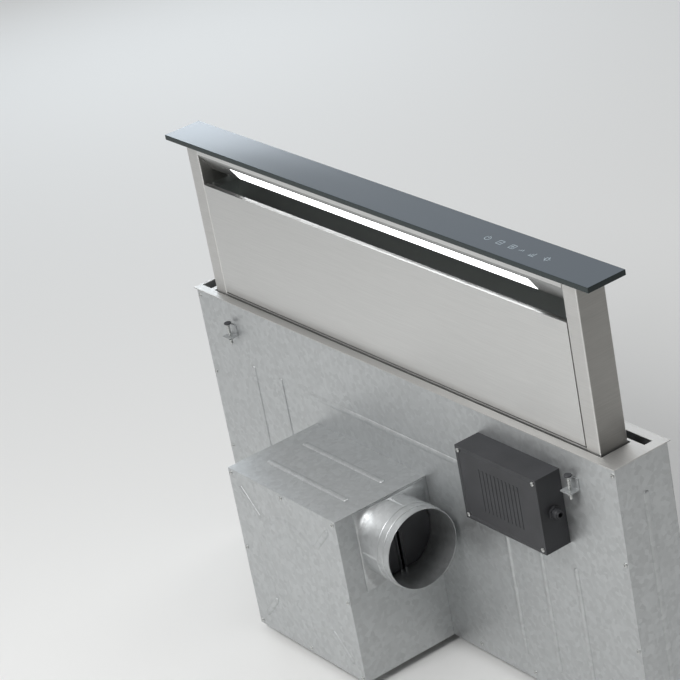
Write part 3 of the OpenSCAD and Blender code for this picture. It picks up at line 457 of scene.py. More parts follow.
# %% [markdown]
# Six touch symbols are printed near the lid's right end. They are thin pale lines, so each is a few flat
# strips and arcs that lie level with the top of the CAD glass, a hair above the dressed plate. An image
# could hold them, but lines that are mesh stay sharp from near. Straight lines are thin blocks. An arc is
# the outline of such a line's end, spun round its centre.

# %% Lines of the touch symbols
SYMBOL_Y = TOWER_Y + 0.022
LINE_WIDTH = 0.0011


def add_line(bm, x, y, width, depth):
    low = Vector((x - width / 2, y - depth / 2, lid_high.z - PRINT_DEPTH))
    add_block(bm, low, low + Vector((width, depth, PRINT_DEPTH)))


def add_arc(bm, x, y, radius, start, sweep):
    ends = [(radius + side * LINE_WIDTH / 2, lid_high.z - drop) for side, drop in
            ((-1, PRINT_DEPTH), (1, PRINT_DEPTH), (1, 0), (-1, 0))]
    turn = Matrix.Rotation(math.radians(start), 3, "Z")
    corners = [bm.verts.new(Vector((x, y, 0)) + turn @ Vector((r, 0, z))) for r, z in ends]
    edges = [bm.edges.new((corners[i], corners[(i + 1) % 4])) for i in range(4)]
    made = bmesh.ops.spin(bm, geom=corners + edges, cent=(x, y, 0), axis=UP, dvec=(0, 0, 0),
                          angle=math.radians(sweep), steps=28, use_merge=False)
    bmesh.ops.contextual_create(bm, geom=edges)
    bmesh.ops.contextual_create(bm, geom=only_edges(made["geom_last"]))


# %% [markdown]
# The symbols are a power ring, a minus and a plus key, a few dashes, three bars for the fan's speed and a
# lamp. All are drawn with the same few strokes, so they share one size and one width of line.

# %% Touch symbols
def add_square(bm, x, y, side):
    for way in (-1, 1):
        add_line(bm, x + way * side / 2, y, LINE_WIDTH, side + LINE_WIDTH)
        add_line(bm, x, y + way * side / 2, side, LINE_WIDTH)


def add_symbols():
    bm = bmesh.new()
    size = 0.0115
    power, less, more, mark, speed, light = 0.316, 0.348, 0.379, 0.402, 0.431, 0.464
    add_arc(bm, power, SYMBOL_Y, size / 2, start=125, sweep=290)
    add_line(bm, power, SYMBOL_Y + size * 0.4, LINE_WIDTH, size * 0.6)
    for x in (less, more):
        add_square(bm, x, SYMBOL_Y, size)
        add_line(bm, x, SYMBOL_Y, size * 0.5, LINE_WIDTH)
    for side in (-1, 1):
        add_line(bm, more, SYMBOL_Y + side * (size + LINE_WIDTH) / 7, LINE_WIDTH, size / 4)
    for step in (-1, 0, 1):
        x, y = mark + step * 0.0036, SYMBOL_Y + (step - 1) * 0.0012
        add_line(bm, x, y, LINE_WIDTH, 0.004 + step * 0.0014)
    for bar, height in enumerate((0.35, 0.6, 0.85)):
        x = speed + (bar - 1) * size * 0.36
        add_line(bm, x, SYMBOL_Y - size * (1 - height) / 2, LINE_WIDTH, size * height)
    add_line(bm, speed, SYMBOL_Y - size * 0.62, size * 1.1, LINE_WIDTH)
    add_square(bm, light, SYMBOL_Y, size * 0.62)
    for side in (-1, 1):
        add_line(bm, light + side * size * 0.55, SYMBOL_Y, size * 0.2, LINE_WIDTH)
        add_line(bm, light, SYMBOL_Y + side * size * 0.55, LINE_WIDTH, size * 0.2)
    bmesh.ops.recalc_face_normals(bm, faces=bm.faces)
    material, shader = plain_material("symbol_print", (0.44, 0.53, 0.58), 0.5)
    ink = add_noise(material.node_tree, (900, 900, 900), 2)
    shade_colour(material.node_tree, shader, ink, (0.35, 0.43, 0.48), (0.49, 0.58, 0.64))
    return add_piece("touch_symbols", bm, "tower", [material])


symbols = add_symbols()
print("touch symbols:", len(symbols.data.polygons), "faces")

# %% [markdown]
# The diffuser is a strip of opal plastic with light sources behind it. It glows white and lights the folded
# top edge of the front panel below it. The light could pass through a translucent strip, but a strip that
# emits gives the same look with less noise. A slow noise along its length keeps the glow from being quite
# even.

# %% Light diffuser
opal, opal_shader = plain_material("opal", (0.93, 0.95, 0.97), 0.4)
opal_shader.inputs["Emission Color"].default_value = (0.98, 0.99, 1.0, 1)
glow = add_noise(opal.node_tree, (60, 1, 1), 0)
opal.node_tree.links.new(map_value(opal.node_tree, glow, 2.6, 3.2), opal_shader.inputs["Emission Strength"])
softened("light_diffuser", FINE_EDGE, opal)

# %% [markdown]
# The housing is hot-dip galvanised sheet. Its zinc freezes into flat crystals, called spangle, each a
# little lighter or duller than the next. The cells of a Voronoi texture have the same look, and each gives
# its crystal a shade and a roughness of its own.

# %% Galvanised sheet
def galvanised_sheet(name, colour, roughness, crystals):
    material, shader = plain_material(name, colour, roughness)
    tree = material.node_tree
    shader.inputs["Metallic"].default_value = 0.85
    place = tree.nodes.new("ShaderNodeTexCoord")
    cells = tree.nodes.new("ShaderNodeTexVoronoi")
    cells.inputs["Scale"].default_value = crystals
    part = tree.nodes.new("ShaderNodeSeparateColor")
    tree.links.new(place.outputs["Object"], cells.inputs["Vector"])
    tree.links.new(cells.outputs["Color"], part.inputs["Color"])
    drive_roughness(tree, shader, part.outputs["Red"], roughness - 0.06, roughness + 0.06, 0, 1)
    shade_colour(tree, shader, part.outputs["Green"], tint(colour, 0.93), tint(colour, 1.06), 0)
    add_bump(tree, shader, add_noise(tree, (500, 500, 500), 2), 0.12, 0.0002)
    return material


CRYSTALS_PER_METRE = 120
zinc = galvanised_sheet("zinc", (0.54, 0.555, 0.56), 0.46, CRYSTALS_PER_METRE)
print("zinc crystals about", round(1000 / CRYSTALS_PER_METRE, 1), "mm across")

# %% [markdown]
# Long flat sheets drum when the blower runs, so they are stiffened with pressed beads. A bead could be
# carved into the sheet, but a stretched ball whose inner half is flattened into it looks the same and
# leaves the sheet's faces whole. It runs from one point of a wall to another and rises outwards.

# %% Pressed beads
BEAD_W = 0.012
BEAD_H = 0.0024
BEAD_SINK = 0.0006


def add_bead(bm, start, end, out):
    start, end, out = Vector(start), Vector(end), Vector(out)
    along = (end - start).normalized()
    made = bmesh.ops.create_uvsphere(bm, u_segments=12, v_segments=9, radius=1)["verts"]
    across = out.cross(along)
    for vert in made:
        ball = vert.co.copy()
        base = end if ball.z > 0 else start
        rise = max(ball.y * BEAD_H, -BEAD_SINK)
        vert.co = base + along * (ball.z * BEAD_W / 2) + across * (ball.x * BEAD_W / 2) + out * rise
    return made


def pressed(node, beads):
    bm = merged_copy(node)
    soften_edges(bm, FINE_EDGE)
    for start, end, out in beads:
        add_bead(bm, start, end, out)
    return add_piece(node + "_dressed", bm, nodes[node]["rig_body"], [zinc], [node])


# %% [markdown]
# The walls are read from the boxes of the nodes, so each bead lies on its sheet. The front shell has one
# bead that runs along above the blower box, and its upright ones stop there or below the control box. The
# smaller parts of zinc only get round edges.

# %% Dress the housing
front_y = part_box("housing_front")[0].y
rear_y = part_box("housing_rear")[1].y
end_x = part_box("housing_end_right")[1].x
mid_y = (front_y + rear_y) / 2
low_z, high_z = -0.46, -0.07
front_low, above_blower, below_control = -0.47, -0.13, -0.24
front_beads = [((x, front_y, front_low), (x, front_y, above_blower), FRONT) for x in (-0.45, -0.36)]
front_beads += [((x, front_y, front_low), (x, front_y, below_control), FRONT) for x in (0.28, 0.37, 0.46)]
front_beads.append(((-0.26, front_y, above_blower), (0.19, front_y, above_blower), FRONT))
rear_beads = [((x, rear_y, low_z), (x, rear_y, high_z), REAR)
              for x in (-0.4, -0.24, -0.08, 0.08, 0.24, 0.4)]
pressed("housing_front", front_beads)
pressed("housing_rear", rear_beads)
pressed("housing_end_right", [((end_x, mid_y, low_z), (end_x, mid_y, high_z), RIGHT)])
pressed("housing_end_left", [((-end_x, mid_y, low_z), (-end_x, mid_y, high_z), LEFT)])
for node in ("housing_tray", "blower_scroll", "worktop_clamps", "motor_bracket", "outlet_collar"):
    softened(node, FINE_EDGE, zinc)
box_low, box_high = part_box("blower_box")
end_gap, edge_gap = 0.05, 0.06
bead_rows = (box_low.y + edge_gap, box_high.y - edge_gap)
box_beads = [((box_low.x + end_gap, y, box_high.z), (box_high.x - end_gap, y, box_high.z), UP)
             for y in bead_rows]
box_beads += [((box_low.x, y, box_low.z + edge_gap), (box_low.x, y, box_high.z - edge_gap), LEFT)
              for y in bead_rows]
pressed("blower_box", box_beads)
print("beads:", len(front_beads) + len(rear_beads) + len(box_beads) + 2)

# %% [markdown]
# Turned parts are made as on a lathe: half of their outline is drawn as a few points, from the axis
# outwards, and spun all the way round. A Screw modifier would do the same, but a spin leaves a finished
# mesh that can be laid along any direction at once. Where a node holds several equal solids, a walk along
# the edges finds the box of each, so that a new part can stand in its place.

# %% Turned parts
def lay_along(bm, verts, place, axis):
    turn = Vector(UP).rotation_difference(Vector(axis)).to_matrix().to_4x4()
    bmesh.ops.transform(bm, matrix=Matrix.Translation(place) @ turn, verts=verts)


def add_turned(bm, outline, place, axis, steps=32, index=0):
    points = [bm.verts.new((radius, 0, height)) for radius, height in outline]
    edges = [bm.edges.new(pair) for pair in zip(points, points[1:])]
    if outline[0][0] and outline[-1][0]:
        edges.append(bm.edges.new((points[-1], points[0])))
    before = set(bm.verts) - set(points)
    bmesh.ops.spin(bm, geom=points + edges, cent=(0, 0, 0), axis=UP, dvec=(0, 0, 0),
                   angle=math.tau, steps=steps, use_merge=True)
    made = [v for v in bm.verts if v not in before]
    bmesh.ops.remove_doubles(bm, verts=made, dist=SAME_PLACE)
    made = [v for v in bm.verts if v not in before]
    lay_along(bm, made, place, axis)
    faces = faces_of(made)
    for face in faces:
        face.material_index = index
    bmesh.ops.recalc_face_normals(bm, faces=faces)
    return made


def boxes_of_solids(node):
    bm = bmesh.new()
    bm.from_mesh(nodes[node].data)
    bmesh.ops.remove_doubles(bm, verts=bm.verts, dist=SAME_PLACE)
    left, boxes = set(bm.verts), []
    for start in bm.verts:
        if start not in left:
            continue
        left.remove(start)
        reached, found = [start], []
        while reached:
            vert = reached.pop()
            found.append(vert.co.copy())
            for near in (edge.other_vert(vert) for edge in vert.link_edges):
                if near in left:
                    left.remove(near)
                    reached.append(near)
        boxes.append((Vector(map(min, *found)), Vector(map(max, *found))))
    bm.free()
    return boxes


# %% [markdown]
# Sheet-metal screws hold the shells and covers. Each is a domed head with a six-sided socket: the dome is
# turned, a hexagon is bridged to its open top, and the hexagon is pushed in. Cutting the socket out of a
# closed head would leave long, thin faces. The rear panel of the tower has to slide through the frame, so
# its screws are countersunk: the same helper turns a cone that lies in the sheet.

# %% Screws
bright_zinc, zinc_shader = plain_material("bright_zinc", (0.66, 0.67, 0.66), 0.28)
zinc_shader.inputs["Metallic"].default_value = 1
rub = add_noise(bright_zinc.node_tree, (400, 400, 400), 3)
drive_roughness(bright_zinc.node_tree, zinc_shader, rub, 0.2, 0.38)

SOCKET = 0.0016
DOME = [(0.0040, 0), (0.0040, 0.00084), (0.0036, 0.0018), (0.0024, 0.0024)]
CONE = [(0.0020, -0.0011), (0.0033, -0.0001), (0.0034, 0), (0.0034, 0.0001), (0.0030, 0.00024)]
REAR_PANEL_ROWS = (-0.05, 0.03, 0.11, 0.19, 0.27)
REAR_PANEL_MARGIN = 0.009


def add_screw_head(bm, base, out, outline, depth):
    foot, height = outline[0][1], outline[-1][1]
    before = set(bm.verts)
    points = [bm.verts.new((r, 0, z)) for r, z in outline]
    edges = [bm.edges.new(pair) for pair in zip(points, points[1:])]
    bmesh.ops.spin(bm, geom=points + edges, cent=(0, 0, 0), axis=UP, dvec=(0, 0, 0),
                   angle=math.tau, steps=18, use_merge=True)
    made = [v for v in bm.verts if v not in before]
    rims = [edge for edge in edges_of(made) if edge.is_boundary]
    bottom = [edge for edge in rims if max(abs(vert.co.z - foot) for vert in edge.verts) < 1e-7]
    top = [edge for edge in rims if edge not in bottom]
    bmesh.ops.contextual_create(bm, geom=bottom)
    rise = Matrix.Translation((0, 0, height))
    hexagon = bmesh.ops.create_circle(bm, segments=6, radius=SOCKET, matrix=rise)
    hex_edges = edges_of(hexagon["verts"])
    bmesh.ops.bridge_loops(bm, edges=top + hex_edges)
    pushed = bmesh.ops.extrude_edge_only(bm, edges=hex_edges)["geom"]
    bmesh.ops.translate(bm, vec=(0, 0, -depth), verts=only_verts(pushed))
    bmesh.ops.contextual_create(bm, geom=[edge for edge in only_edges(pushed) if edge.is_boundary])
    made = [v for v in bm.verts if v not in before]
    lay_along(bm, made, base, out)


def add_housing_screws():
    bm = bmesh.new()
    heads = boxes_of_solids("housing_screws")
    for low, high in heads:
        middle = (low + high) / 2
        rear = middle.y > mid_y
        middle.y = low.y if rear else high.y
        add_screw_head(bm, middle, REAR if rear else FRONT, DOME, 0.0014)
    bmesh.ops.recalc_face_normals(bm, faces=bm.faces)
    add_piece("screw_heads", bm, "housing", [bright_zinc], ["housing_screws"])
    return len(heads)


def add_rear_panel_screws():
    low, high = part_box("tower_rear_panel")
    bm = bmesh.new()
    for x in (low.x + REAR_PANEL_MARGIN, high.x - REAR_PANEL_MARGIN):
        for z in REAR_PANEL_ROWS:
            add_screw_head(bm, (x, high.y, z), REAR, CONE, 0.0009)
    bmesh.ops.recalc_face_normals(bm, faces=bm.faces)
    return add_piece("rear_panel_screws", bm, "tower", [bright_zinc])


print("screw heads of the housing:", add_housing_screws())
print("screw faces on the rear panel:", len(add_rear_panel_screws().data.polygons))

# %% [markdown]
# Plastics here are moulded, with a fine grain that scatters the light. Rubber is duller and a little dusty.
# Both are a noise that drives roughness and height, at a scale of about a millimetre, and a much coarser
# one that changes the colour a little, without which they would look wet next to the steel. The paint of
# the motors and the lacquer of the boards are made the same way. The impeller keeps its CAD mesh, because
# only its finish changes.

# %% Plastics and rubber
def grained(name, colour, roughness, grain=1400, height=0.15):
    material, shader = plain_material(name, colour, roughness)
    tree = material.node_tree
    fine = add_noise(tree, (grain, grain, grain), 2)
    drive_roughness(tree, shader, fine, roughness - 0.06, roughness + 0.06)
    shade_colour(tree, shader, add_noise(tree, (20, 20, 20), 4), tint(colour, 0.85), tint(colour, 1.15))
    add_bump(tree, shader, fine, height, 0.0003)
    return material


moulded_black = grained("moulded_black", (0.035, 0.036, 0.040), 0.5)
belt_rubber = grained("belt_rubber", (0.022, 0.022, 0.023), 0.75, 700, 0.3)
shoe_plastic = grained("shoe_plastic", (0.60, 0.60, 0.57), 0.42)
can_paint = grained("can_paint", (0.085, 0.090, 0.095), 0.38, 500, 0.25)
board_lacquer = grained("board_lacquer", (0.020, 0.11, 0.055), 0.35, 300, 0.1)
phosphor = grained("phosphor", (0.80, 0.64, 0.16), 0.45, 1400, 0.1)
for node in ("control_box", "damper_flap_front", "damper_flap_rear", "panel_catches", "position_sensors"):
    softened(node, SHEET_EDGE, moulded_black)
repaint("impeller", moulded_black)
for node in ("opening_seal", "long_belt", "short_belt"):
    softened(node, FINE_EDGE, belt_rubber)
softened("guide_shoes", 0.0005, shoe_plastic)
softened("blower_motor", 0.0010, can_paint, segments=3)
print("plastics:", moulded_black.name, belt_rubber.name, shoe_plastic.name)

# %% [markdown]
# Both circuit boards are lacquered green. The light sources stand in front of the light board, so their
# faces are found by how far they lie along the board's own direction, and they get the yellow of their
# phosphor. The touch board carries its chip, its small parts and its plug on the side that faces down, away
# from the glass. They are rounded blocks in rows, which is all that shows from below.

# %% Circuit boards
LIGHT_NORMAL = Vector((0, 0.8352, 0.5500))
LIGHT_BOARD_FACE = 0.17935
LIGHT_ROW_END = 0.42


def is_light_source(face):
    centre = face.calc_center_median()
    return centre.dot(LIGHT_NORMAL) < LIGHT_BOARD_FACE and abs(centre.x) < LIGHT_ROW_END


def add_rounded_block(bm, low, high, width, index=0):
    made = add_block(bm, low, high)
    for face in faces_of(made):
        face.material_index = index
    round_edges(bm, edges_of(made), width)


def add_touch_parts():
    low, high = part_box("touch_board")
    y = (low.y + high.y) / 2
    top = low.z + 0.0001
    plastic, pale, metal = 0, 1, 2
    bm = bmesh.new()

    def add_part(x, y, size, edge, finish):
        width, length, height = size
        corners = (x - width / 2, y - length / 2, low.z - height), (x + width / 2, y + length / 2, top)
        add_rounded_block(bm, *corners, edge, finish)

    plug = add_block(bm, (low.x + 0.008, y - 0.003, low.z - 0.0042), (low.x + 0.022, y + 0.003, top))
    mouth = [face for face in faces_of(plug) if face.normal.z < -0.9]
    bmesh.ops.inset_individual(bm, faces=mouth, thickness=0.0008, depth=0)
    bmesh.ops.inset_individual(bm, faces=mouth, thickness=0.0001, depth=-0.0034)
    for face in bm.faces:
        face.material_index = pale
    for pin in range(5):
        add_part(low.x + 0.011 + pin * 0.002, y, (0.0006, 0.0006, 0.0032), HAIR_EDGE, metal)
    chip = low.x + 0.070
    add_part(chip, y, (0.007, 0.007, 0.0011), FINE_EDGE, plastic)
    for leg in range(9):
        add_part(chip + (leg - 4) * 0.0007, y, (0.0003, 0.0092, 0.0004), HAIR_EDGE / 2, metal)
    for small in range(10):
        side = 0.0062 if small % 2 else -0.0062
        finish = metal if small % 3 == 0 else plastic
        add_part(low.x + 0.035 + small * 0.014, y + side, (0.002, 0.0012, 0.0007), HAIR_EDGE, finish)
    return add_piece("touch_board_parts", bm, "tower", [moulded_black, shoe_plastic, bright_zinc])


softened("light_board", HAIR_EDGE, board_lacquer, segments=1, second=phosphor, has_second=is_light_source)
softened("touch_board", HAIR_EDGE, board_lacquer, segments=1)
print("parts of the touch board:", len(add_touch_parts().data.polygons), "faces")

# %% [markdown]
# The rest of the mechanism is metal that a tool has shaped: extruded alloy rails, turned alloy pulleys,
# ground steel shafts, bronze nuts, dark cast blocks and the punched alloy of the grease filters. Tool marks
# are scratches that run one way, so the shader of the brushed steel serves them too, with another colour,
# roughness and grain.

# %% Machined metals
def machined(name, colour, roughness, marks, spread=0.06):
    return brushed_steel(name, colour, roughness, marks, spread, anisotropy=0.3, streaks=0.04, turn=0)


TURNED_MARKS = (60, 60, 2400)
rail_alloy = machined("rail_alloy", (0.72, 0.73, 0.74), 0.36, (900, 900, 30))
turned_alloy = machined("turned_alloy", (0.70, 0.71, 0.72), 0.26, TURNED_MARKS)
nut_bronze = machined("nut_bronze", (0.60, 0.40, 0.19), 0.3, TURNED_MARKS)
ground_steel = machined("ground_steel", (0.62, 0.62, 0.63), 0.2, (80, 80, 2400))
cast_block = machined("cast_block", (0.23, 0.235, 0.24), 0.48, (300, 300, 300), 0.1)
filter_alloy = machined("filter_alloy", (0.70, 0.705, 0.71), 0.34, (900, 30, 30))
for node in ("guide_rail_left", "guide_rail_right", "lift_carriages"):
    softened(node, SHEET_EDGE, rail_alloy)
for node in ("screw_pulley_left", "screw_pulley_right", "motor_pulley", "inlet_ring"):
    softened(node, FINE_EDGE, turned_alloy)
softened("lead_nuts", SHEET_EDGE, nut_bronze)
for node in ("screw_bearings", "sensor_magnets"):
    softened(node, 0.0006, cast_block)
for node in ("motor_shaft", "blower_shaft", "damper_pins", "hinge_pins", "strike_plates"):
    softened(node, FINE_EDGE, ground_steel)
softened("hinge_bushes", HAIR_EDGE, nut_bronze, segments=1)
softened("grease_filters", FINE_EDGE, filter_alloy)

# %% [markdown]
# The lift, the clamps and the feet all work by a screw. A thread is a small four-sided section that is spun
# round the axis while it climbs, so one spin with a step upwards makes the whole helix. The groove could be
# cut out of a rod instead, but a ridge that is laid on a plain core has clean faces and costs little.

# %% Threads
def thread_mesh(root, crest, lead, length, starts=1, per_turn=16):
    bm = bmesh.new()
    pitch = lead / starts
    steps = round(length / lead * per_turn)
    corners = [bm.verts.new((r, 0, height * pitch)) for r, height in
               ((root * 0.97, -0.45), (crest, -0.2), (crest, 0.2), (root * 0.97, 0.45))]
    edges = [bm.edges.new((corners[i], corners[(i + 1) % 4])) for i in range(4)]
    climbed = bmesh.ops.spin(bm, geom=corners + edges, cent=(0, 0, 0), axis=UP, use_merge=False,
                             dvec=(0, 0, length / steps), angle=math.tau * length / lead, steps=steps)
    bmesh.ops.contextual_create(bm, geom=edges)
    bmesh.ops.contextual_create(bm, geom=only_edges(climbed["geom_last"]))
    bmesh.ops.recalc_face_normals(bm, faces=bm.faces)
    for start in range(1, starts):
        copy = bmesh.ops.duplicate(bm, geom=bm.verts[:] + bm.edges[:] + bm.faces[:])["geom"]
        bmesh.ops.rotate(bm, cent=(0, 0, 0), matrix=Matrix.Rotation(math.tau * start / starts, 3, "Z"),
                         verts=only_verts(copy))
    mesh = bpy.data.meshes.new("thread")
    bm.to_mesh(mesh)
    bm.free()
    return mesh


def add_mesh(bm, mesh, place):
    known = set(bm.verts)
    bm.from_mesh(mesh)
    bmesh.ops.translate(bm, vec=place, verts=[v for v in bm.verts if v not in known])


# %% [markdown]
# The tower is lifted by two lead screws. Each has two threads, half a turn apart, that share the lead of
# ten millimetres. The plain core under them is turned as one piece with its bearing journals.

# %% Lead screws
SCREW_LEAD = 0.010


def add_lead_screw(side):
    node = "lead_screw_" + side
    low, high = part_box(node)
    middle = (low + high) / 2
    length = high.z - low.z
    crest = (high.x - low.x) / 2
    root, journal = crest - 0.0013, crest - 0.002
    foot, top, runout, chamfer = 0.052, 0.016, 0.0026, 0.0006
    outline = [(0, 0), (journal - chamfer, 0), (journal, chamfer), (journal, foot), (root, foot),
               (root, length - top), (journal, length - top), (journal, length - chamfer),
               (journal - chamfer, length), (0, length)]
    bm = bmesh.new()
    add_turned(bm, outline, (middle.x, middle.y, low.z), UP)
    thread = thread_mesh(root, crest, SCREW_LEAD, length - foot - top - 2 * runout, starts=2)
    add_mesh(bm, thread, (middle.x, middle.y, low.z + foot + runout))
    return add_piece(node + "_threaded", bm, nodes[node]["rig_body"], [ground_steel], [node])


for side in ("left", "right"):
    print(side, "lead screw faces:", len(add_lead_screw(side).data.polygons))

# %% [markdown]
# The clamp screws hold the vent in its cut-out from below. Each is a threaded rod with a turned pad on its
# upper end. All of them are equal, so one thread is made and copied to each place.

# %% Clamp screws
def add_clamp_screws():
    bm = bmesh.new()
    places = boxes_of_solids("clamp_screws")
    rod, crest, pad = 0.0024, 0.003, 0.003
    length = places[0][1].z - places[0][0].z - pad
    thread = thread_mesh(rod, crest, lead=0.00125, length=length - 0.002, per_turn=12)
    cap = [(0, 0), (0.0064, 0), (0.007, 0.0006), (0.007, 0.0024), (0.0064, pad), (0, pad)]
    for low, high in places:
        middle = (low + high) / 2
        add_turned(bm, [(0, 0), (rod, 0), (rod, length), (0, length)], (middle.x, middle.y, low.z), UP, 16)
        add_mesh(bm, thread, (middle.x, middle.y, low.z + 0.001))
        add_turned(bm, cap, (middle.x, middle.y, high.z - pad), UP, 32, 1)
    add_piece("clamp_screws_threaded", bm, "housing", [bright_zinc, moulded_black], ["clamp_screws"])
    return len(places)


print("clamp screws:", add_clamp_screws())

# %% [markdown]
# The levelling feet are the same idea the other way up: a rubber pad on a threaded stud, with a six-sided
# collar for the spanner. A ring that is spun in only six steps has the collar's six flats already.

# %% Levelling feet
def add_levelling_feet():
    bm = bmesh.new()
    places = boxes_of_solids("levelling_feet")
    root, crest = 0.0043, 0.005
    thread = thread_mesh(root, crest, lead=0.0015, length=0.0048)
    pad = [(0, 0), (0.0148, 0), (0.0160, 0.0012), (0.0160, 0.0030), (0.0148, 0.0042), (0.0090, 0.0050),
           (0, 0.0050)]
    stud = [(0, 0.0048), (root, 0.0048), (root, 0.015), (0, 0.015)]
    collar = [(0.0040, 0.0049), (0.0084, 0.0049), (0.0088, 0.0054), (0.0088, 0.0082), (0.0084, 0.0087),
              (0.0040, 0.0087)]
    for low, high in places:
        middle = (low + high) / 2
        base = (middle.x, middle.y, low.z)
        add_turned(bm, pad, base, UP, 40, 1)
        add_turned(bm, stud, base, UP, 24)
        add_mesh(bm, thread, (middle.x, middle.y, low.z + 0.0095))
        add_turned(bm, collar, base, UP, 6)
    add_piece("feet_threaded", bm, "housing", [bright_zinc, belt_rubber], ["levelling_feet"])
    return len(places)


print("levelling feet:", add_levelling_feet())

# %% [markdown]
# The blower's front cover carries the motor on its inner side, so the sheet is pressed into a shallow dish
# with a ring round it and a bead to each corner. Dish and ring are turned, because their shape is the same
# all the way round.

# %% Blower cover
def add_blower_cover():
    low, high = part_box("blower_cover")
    bm = bmesh.new()
    add_block(bm, low, high)
    round_edges(bm, bm.edges[:], FINE_EDGE)
    centre = Vector(((low.x + high.x) / 2, low.y, (low.z + high.z) / 2))
    dish = [(0, 0.0020), (0.066, 0.0020), (0.071, 0.0017), (0.076, 0.0008), (0.080, -0.0003), (0, -0.0003)]
    add_turned(bm, dish, centre, FRONT, 64)
    ring = [(0.098, -0.0003), (0.101, 0.0009), (0.105, 0.0015), (0.109, 0.0009), (0.112, -0.0003)]
    add_turned(bm, ring, centre, FRONT, 64)
    for side in (-1, 1):
        for rise in (-1, 1):
            way = Vector((side, 0, rise))
            add_bead(bm, centre + way * 0.090, centre + way * 0.132, FRONT)
    return add_piece("blower_cover_pressed", bm, "housing", [zinc], ["blower_cover"])


print("blower cover faces:", len(add_blower_cover().data.polygons))

# %% [markdown]
# The control box has a moulded cover with a sunken field, and ribs stand in it. The field is an inset face
# that is pushed in, which keeps the cover one closed body, and the ribs are rounded blocks.

# %% Control cover
def add_control_cover():
    low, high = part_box("control_cover")
    bm = bmesh.new()
    add_block(bm, low, high)
    front = [face for face in bm.faces if face.normal.y < -0.9]
    bmesh.ops.inset_individual(bm, faces=front, thickness=0.009, depth=0)
    bmesh.ops.inset_individual(bm, faces=front, thickness=0.0010, depth=-0.0009)
    round_edges(bm, [e for e in bm.edges if e.calc_face_angle(0) > SHARP_ANGLE], SHEET_EDGE)
    margin = 0.030
    for rib in range(11):
        x = low.x + 0.055 + rib * 0.010
        corners = (x, low.y + 0.0001, low.z + margin), (x + 0.0028, low.y + 0.0015, high.z - margin)
        add_rounded_block(bm, *corners, SHEET_EDGE)
    return add_piece("control_cover_ribbed", bm, "housing", [moulded_black], ["control_cover"])


print("control cover faces:", len(add_control_cover().data.polygons))

# %% [markdown]
# The cable gland is a turned body with a six-sided nut and a twelve-sided cap, open along its middle. All
# four of its parts are turned, and the number of steps makes the flats of the nut and the cap.

# %% Cable gland
def add_cable_gland():
    low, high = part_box("cable_gland")
    base = (low.x, (low.y + high.y) / 2, (low.z + high.z) / 2)
    bore = 0.004
    bm = bmesh.new()
    body = [(bore, 0), (0.0088, 0), (0.0088, 0.0078), (0.0080, 0.0078), (0.0080, 0.0185), (bore, 0.0185)]
    add_turned(bm, body, base, RIGHT, 36)
    nut = [(0.0082, 0.0020), (0.0114, 0.0020), (0.0120, 0.0026), (0.0120, 0.0064), (0.0114, 0.0070),
           (0.0082, 0.0070)]
    add_turned(bm, nut, base, RIGHT, 6)
    cap = [(0.0046, 0.0074), (0.0090, 0.0074), (0.0090, 0.0142), (0.0084, 0.0156), (0.0068, 0.0192),
           (0.0060, 0.0200), (0.0046, 0.0200)]
    add_turned(bm, cap, base, RIGHT, 12)
    insert = [(bore, 0.0180), (0.0056, 0.0180), (0.0056, 0.0196), (bore, 0.0196)]
    add_turned(bm, insert, base, RIGHT, 36, 1)
    return add_piece("cable_gland_ribbed", bm, "housing", [moulded_black, belt_rubber], ["cable_gland"])


print("cable gland faces:", len(add_cable_gland().data.polygons))

# %% [markdown]
# The lift motor is a painted can on a flat gearbox. Two end bells of black plastic close the can. Each is a
# turned ring that stands a little proud of it, so the can's own mesh stays whole.

# %% Lift motor
def add_motor_bells():
    low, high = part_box("lift_motor")
    middle = (low + high) / 2
    can = 0.024
    ring = [(can - 0.001, 0), (can + 0.0004, 0), (can + 0.0008, 0.0004), (can + 0.0008, 0.0050),
            (can + 0.0004, 0.0054), (can - 0.001, 0.0054)]
    bm = bmesh.new()
    for height in (0.0300, 0.0840):
        add_turned(bm, ring, (middle.x, middle.y, low.z + height), UP, 48)
    hub = [(0, 0), (0.008, 0), (0.0076, -0.0012), (0, -0.0012)]
    add_turned(bm, hub, (middle.x, middle.y, high.z - 0.0001), DOWN, 32)
    return add_piece("lift_motor_bells", bm, "housing", [moulded_black])


softened("lift_motor", 0.0010, can_paint, segments=3)
print("motor bells faces:", len(add_motor_bells().data.polygons))

# %% [markdown]
# The collar takes a round duct, so it has two rolled beads for the duct to seal on. Each is a half-round
# ring set on the outside, which leaves the bore as it is.

# %% Duct collar bead
def add_collar_bead():
    low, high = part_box("outlet_collar")
    middle = (low + high) / 2
    wall = 0.0745
    bead = [(wall - 0.0004, 0), (wall + 0.0009, 0.0006), (wall + 0.0014, 0.0020), (wall + 0.0009, 0.0034),
            (wall - 0.0004, 0.0040)]
    bm = bmesh.new()
    for along in (0.046, 0.062):
        add_turned(bm, bead, (low.x + along, middle.y, middle.z), RIGHT, 72)
    return add_piece("collar_beads", bm, "housing", [zinc])


print("collar beads faces:", len(add_collar_bead().data.polygons))

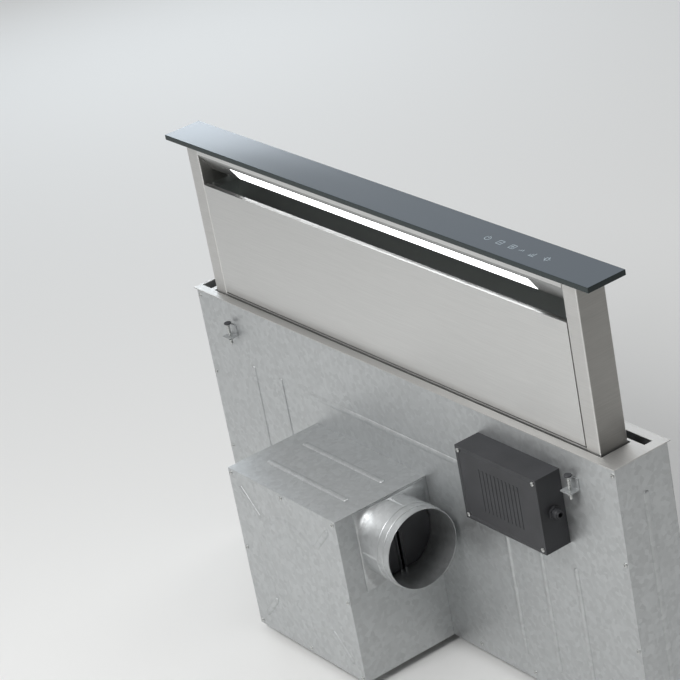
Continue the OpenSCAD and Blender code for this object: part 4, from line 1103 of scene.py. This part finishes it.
# %% [markdown]
# Behind the slots of each grease filter lies a fine expanded mesh that catches the droplets. Thousands of
# real diamonds would cost too much, so each mesh is one thin sheet, and two crossed waves draw its wires
# and its holes. The holes are painted near black, a painted shade for the dark that shows through them. A
# wave texture repeats every 0.314 units at a scale of one, which gives the pitch of the wires. The sheet is
# turned onto the same slope as the filters.

# %% Filter mesh
WAVE_LENGTH = 0.314


def crossed_wires(name, wire, hole_shade, pitch):
    material, shader = plain_material(name, wire, 0.35)
    tree = material.node_tree
    place = tree.nodes.new("ShaderNodeTexCoord")
    both = tree.nodes.new("ShaderNodeMath")
    both.operation = "MAXIMUM"
    for number, lean in enumerate((45, -45)):
        turn = tree.nodes.new("ShaderNodeMapping")
        turn.inputs["Rotation"].default_value = (0, math.radians(lean), 0)
        wave = tree.nodes.new("ShaderNodeTexWave")
        wave.bands_direction = "X"
        wave.inputs["Scale"].default_value = WAVE_LENGTH / pitch
        tree.links.new(place.outputs["Object"], turn.inputs["Vector"])
        tree.links.new(turn.outputs["Vector"], wave.inputs["Vector"])
        tree.links.new(wave.outputs["Fac"], both.inputs[number])
    wires = map_value(tree, both.outputs["Value"], 0, 1, 0.55, 0.8)
    # The holes take the near-black colour, which is painted shade.
    shade_colour(tree, shader, wires, hole_shade, wire)
    tree.links.new(wires, shader.inputs["Metallic"])
    add_bump(tree, shader, both.outputs["Value"], 0.5, 0.0005)
    return material


FILTER_FOOT = Vector((0, 0.031, 0.072))
FILTER_SLOPE = math.radians(67)
FILTER_START = -0.4895
FILTER_PITCH = 0.245
# The near-black colour of the holes is painted shade.
filter_mesh = crossed_wires("filter_mesh", (0.42, 0.42, 0.43), (0.02, 0.02, 0.02), 0.0022)


def add_filter_mesh():
    bm = bmesh.new()
    for number in range(4):
        x = FILTER_START + FILTER_PITCH * number
        add_block(bm, (x + 0.006, 0.006, 0.0038), (x + 0.238, 0.102, 0.0042))
    turn = Matrix.Translation(FILTER_FOOT) @ Matrix.Rotation(FILTER_SLOPE, 4, "X")
    bmesh.ops.transform(bm, matrix=turn, verts=bm.verts)
    return add_piece("filter_mesh_sheets", bm, "tower", [filter_mesh])


print("filter mesh sheets:", len(add_filter_mesh().data.polygons) // 6)
